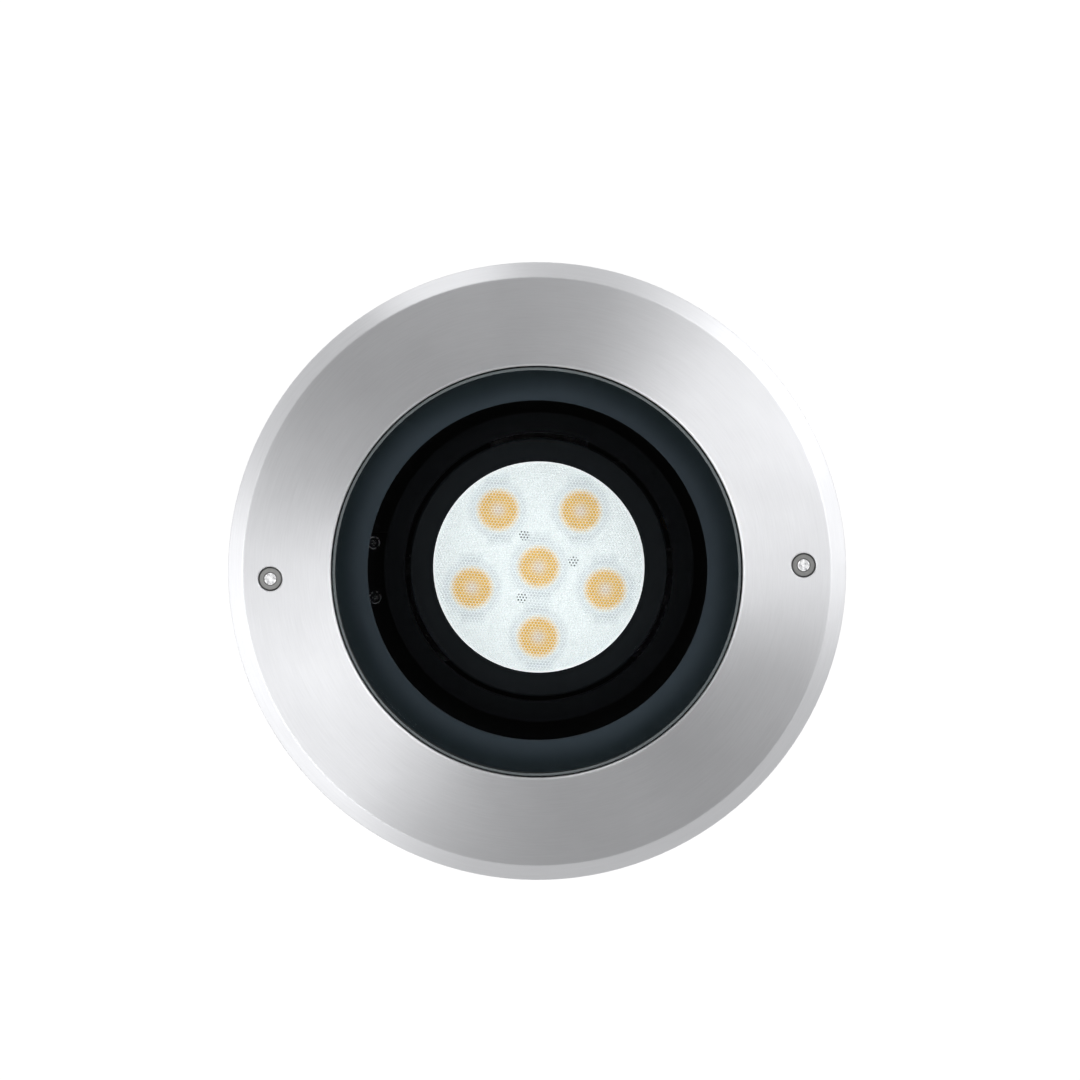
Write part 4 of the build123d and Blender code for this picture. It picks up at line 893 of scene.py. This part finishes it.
class WELLLIGHT_OT_studio(bpy.types.Operator):
    """Set up the floor, the soft light and the camera"""

    bl_idname = "welllight.studio"
    bl_label = "Set up the studio"

    def execute(self, context):
        sizes = context.scene.welllight_studio_sizes
        self.make_world(context.scene, sizes)
        self.make_floor(sizes)
        self.make_lamps(sizes)
        self.make_camera(context.scene, sizes)
        context.scene.view_settings.view_transform = "Standard"
        return {"FINISHED"}

    @staticmethod
    def make_world(scene, sizes):
        """White to the camera. As light, a dark zenith in a ceiling that is brightest towards the key."""
        scene.world = bpy.data.worlds.new("studio_world")
        w = Finish(scene.world)
        direction = w.node("ShaderNodeTexCoord", out="Generated")
        x, y, z = [w.node("ShaderNodeSeparateXYZ", sockets={0: direction}, out=axis) for axis in "XYZ"]
        flat = (x * x + y * y).root().most(0.001)
        along = (x * cos(sizes.key_angle) + y * sin(sizes.key_angle)) / flat
        bow = (along * along).step(0.38, 0.88)
        strip = (x * cos(sizes.strip_angle) + y * sin(sizes.strip_angle)) / flat
        strip = strip.step(0.96, 0.992) * z.step(0.25, 0.35) * z.step(0.62, 0.5)
        left = (x * cos(sizes.left_angle) + y * sin(sizes.left_angle)) / flat
        right = (x * cos(sizes.right_angle) + y * sin(sizes.right_angle)) / flat
        cards = left.most(right).step(0.94, 0.985)
        ceiling = z.step(0.985, 0.92)
        horizon = z.step(0.75, 0.42)
        low = z.step(0.32, 0.1)
        overhead = ceiling * (bow * 1.75 + 0.72)
        around = bow * 0.31 + cards * 0.2 + 0.38 + low * 0.6
        level = overhead * (1 - horizon) + horizon * around + strip * 1.5
        light = w.node("ShaderNodeBackground", sockets={"Color": WHITE, "Strength": level + 0.01})
        white = w.node("ShaderNodeBackground", sockets={"Color": WHITE, "Strength": 1.0})
        seen = w.node("ShaderNodeLightPath", out="Is Camera Ray")
        shown = w.node("ShaderNodeMixShader", sockets={0: seen, 1: light, 2: white})
        w.show(shown, "ShaderNodeOutputWorld")

    @staticmethod
    def make_floor(sizes):
        """Plain floor that looks white and still takes a faint shadow."""
        deselect()
        bpy.ops.mesh.primitive_plane_add(size=sizes.floor_size, location=(0, 0, CAD_BOX[0][2] - 0.05 * MM))
        floor = bpy.context.active_object
        floor.name = "floor"
        f = new_finish("floor_white")
        matt = f.surface(Base_Color=(0.9, 0.9, 0.9), Roughness=0.9, Specular_IOR_Level=0.0)
        white = f.node("ShaderNodeEmission", sockets={"Color": WHITE, "Strength": 1.05})
        seen = f.node("ShaderNodeLightPath", out="Is Camera Ray")
        for name in ("Is Glossy Ray", "Is Transmission Ray"):
            seen = seen.most(f.node("ShaderNodeLightPath", out=name))
        above = f.node("ShaderNodeMixShader", sockets={0: seen * 0.93, 1: matt, 2: white})
        below = f.node("ShaderNodeNewGeometry", out="Backfacing")
        clear = f.node("ShaderNodeBsdfTransparent")
        shown = f.node("ShaderNodeMixShader", sockets={0: below, 1: above, 2: clear})
        floor.data.materials.append(f.show(shown))

    @staticmethod
    def make_lamps(sizes):
        """Two soft boxes on opposite sides, along the key's azimuth."""
        for name, turn, height, power in (("key", 0.0, 1.5, 6.0), ("fill", pi, 1.5, 5.0)):
            lamp = bpy.data.lights.new(name, "AREA")
            lamp.shape = "RECTANGLE"
            lamp.size = 1.6
            lamp.size_y = 1.0
            lamp.energy = power
            azimuth = sizes.key_angle + turn
            box = bpy.data.objects.new(name, lamp)
            box.location = (1.3 * cos(azimuth), 1.3 * sin(azimuth), height)
            aim = Vector((0, 0, COVER_HIGH.z)) - Vector(box.location)
            box.rotation_euler = aim.to_track_quat("-Z", "Y").to_euler()
            box.visible_glossy = False
            bpy.context.scene.collection.objects.link(box)

    @staticmethod
    def make_camera(scene, sizes):
        """Camera almost on the light's axis, at the photograph's place and width."""
        turn = sizes.face_turn
        right = Vector((cos(turn), -sin(turn), 0))
        up = Vector((sin(turn), cos(turn), 0))
        side = right * cos(sizes.tilt_side) + up * sin(sizes.tilt_side)
        back = Vector((0, 0, cos(sizes.view_tilt))) + side * sin(sizes.view_tilt)
        aim = Vector((0, 0, COVER_HIGH.z)) + right * sizes.aim_right + up * sizes.aim_up
        right = up.cross(back).normalized()
        up = back.cross(right)
        camera_data = bpy.data.cameras.new("camera")
        camera_data.sensor_fit = "HORIZONTAL"
        camera_data.lens = camera_data.sensor_width * sizes.view_distance / sizes.view_width
        camera_data.clip_end = 50.0
        camera = bpy.data.objects.new("camera", camera_data)
        axes = Matrix((right, up, back)).transposed().to_4x4()
        camera.matrix_world = Matrix.Translation(aim + back * sizes.view_distance) @ axes
        scene.collection.objects.link(camera)
        scene.camera = camera


class WELLLIGHT_PT_panel(bpy.types.Panel):
    """Sizes, colours and steps of the in-ground light's looks"""

    bl_label = "Well light"
    bl_idname = "WELLLIGHT_PT_panel"
    bl_space_type = "VIEW_3D"
    bl_region_type = "UI"
    bl_category = "Well light"

    def draw(self, context):
        for operator in OPERATORS:
            self.layout.operator(operator.bl_idname)
        for name, group in GROUPS.items():
            box = self.layout.box()
            for prop in group.__annotations__:
                box.prop(getattr(context.scene, name), prop)


GROUPS = {
    "welllight_lens_sizes": LensSizes,
    "welllight_face_sizes": FaceSizes,
    "welllight_face_colours": FaceColours,
    "welllight_body_colours": BodyColours,
    "welllight_studio_sizes": StudioSizes,
}
OPERATORS = (
    WELLLIGHT_OT_face,
    WELLLIGHT_OT_well,
    WELLLIGHT_OT_lens,
    WELLLIGHT_OT_body,
    WELLLIGHT_OT_studio,
)


def register():
    for name, group in GROUPS.items():
        bpy.utils.register_class(group)
        setattr(bpy.types.Scene, name, PointerProperty(type=group))
    for shown in (*OPERATORS, WELLLIGHT_PT_panel):
        bpy.utils.register_class(shown)


def unregister():
    for shown in (WELLLIGHT_PT_panel, *reversed(OPERATORS)):
        bpy.utils.unregister_class(shown)
    for name, group in GROUPS.items():
        delattr(bpy.types.Scene, name)
        bpy.utils.unregister_class(group)


def main():
    register()
    bpy.ops.welllight.face()
    bpy.ops.welllight.well()
    bpy.ops.welllight.lens()
    bpy.ops.welllight.body()
    bpy.ops.welllight.studio()


if __name__ == "__main__":
    main()
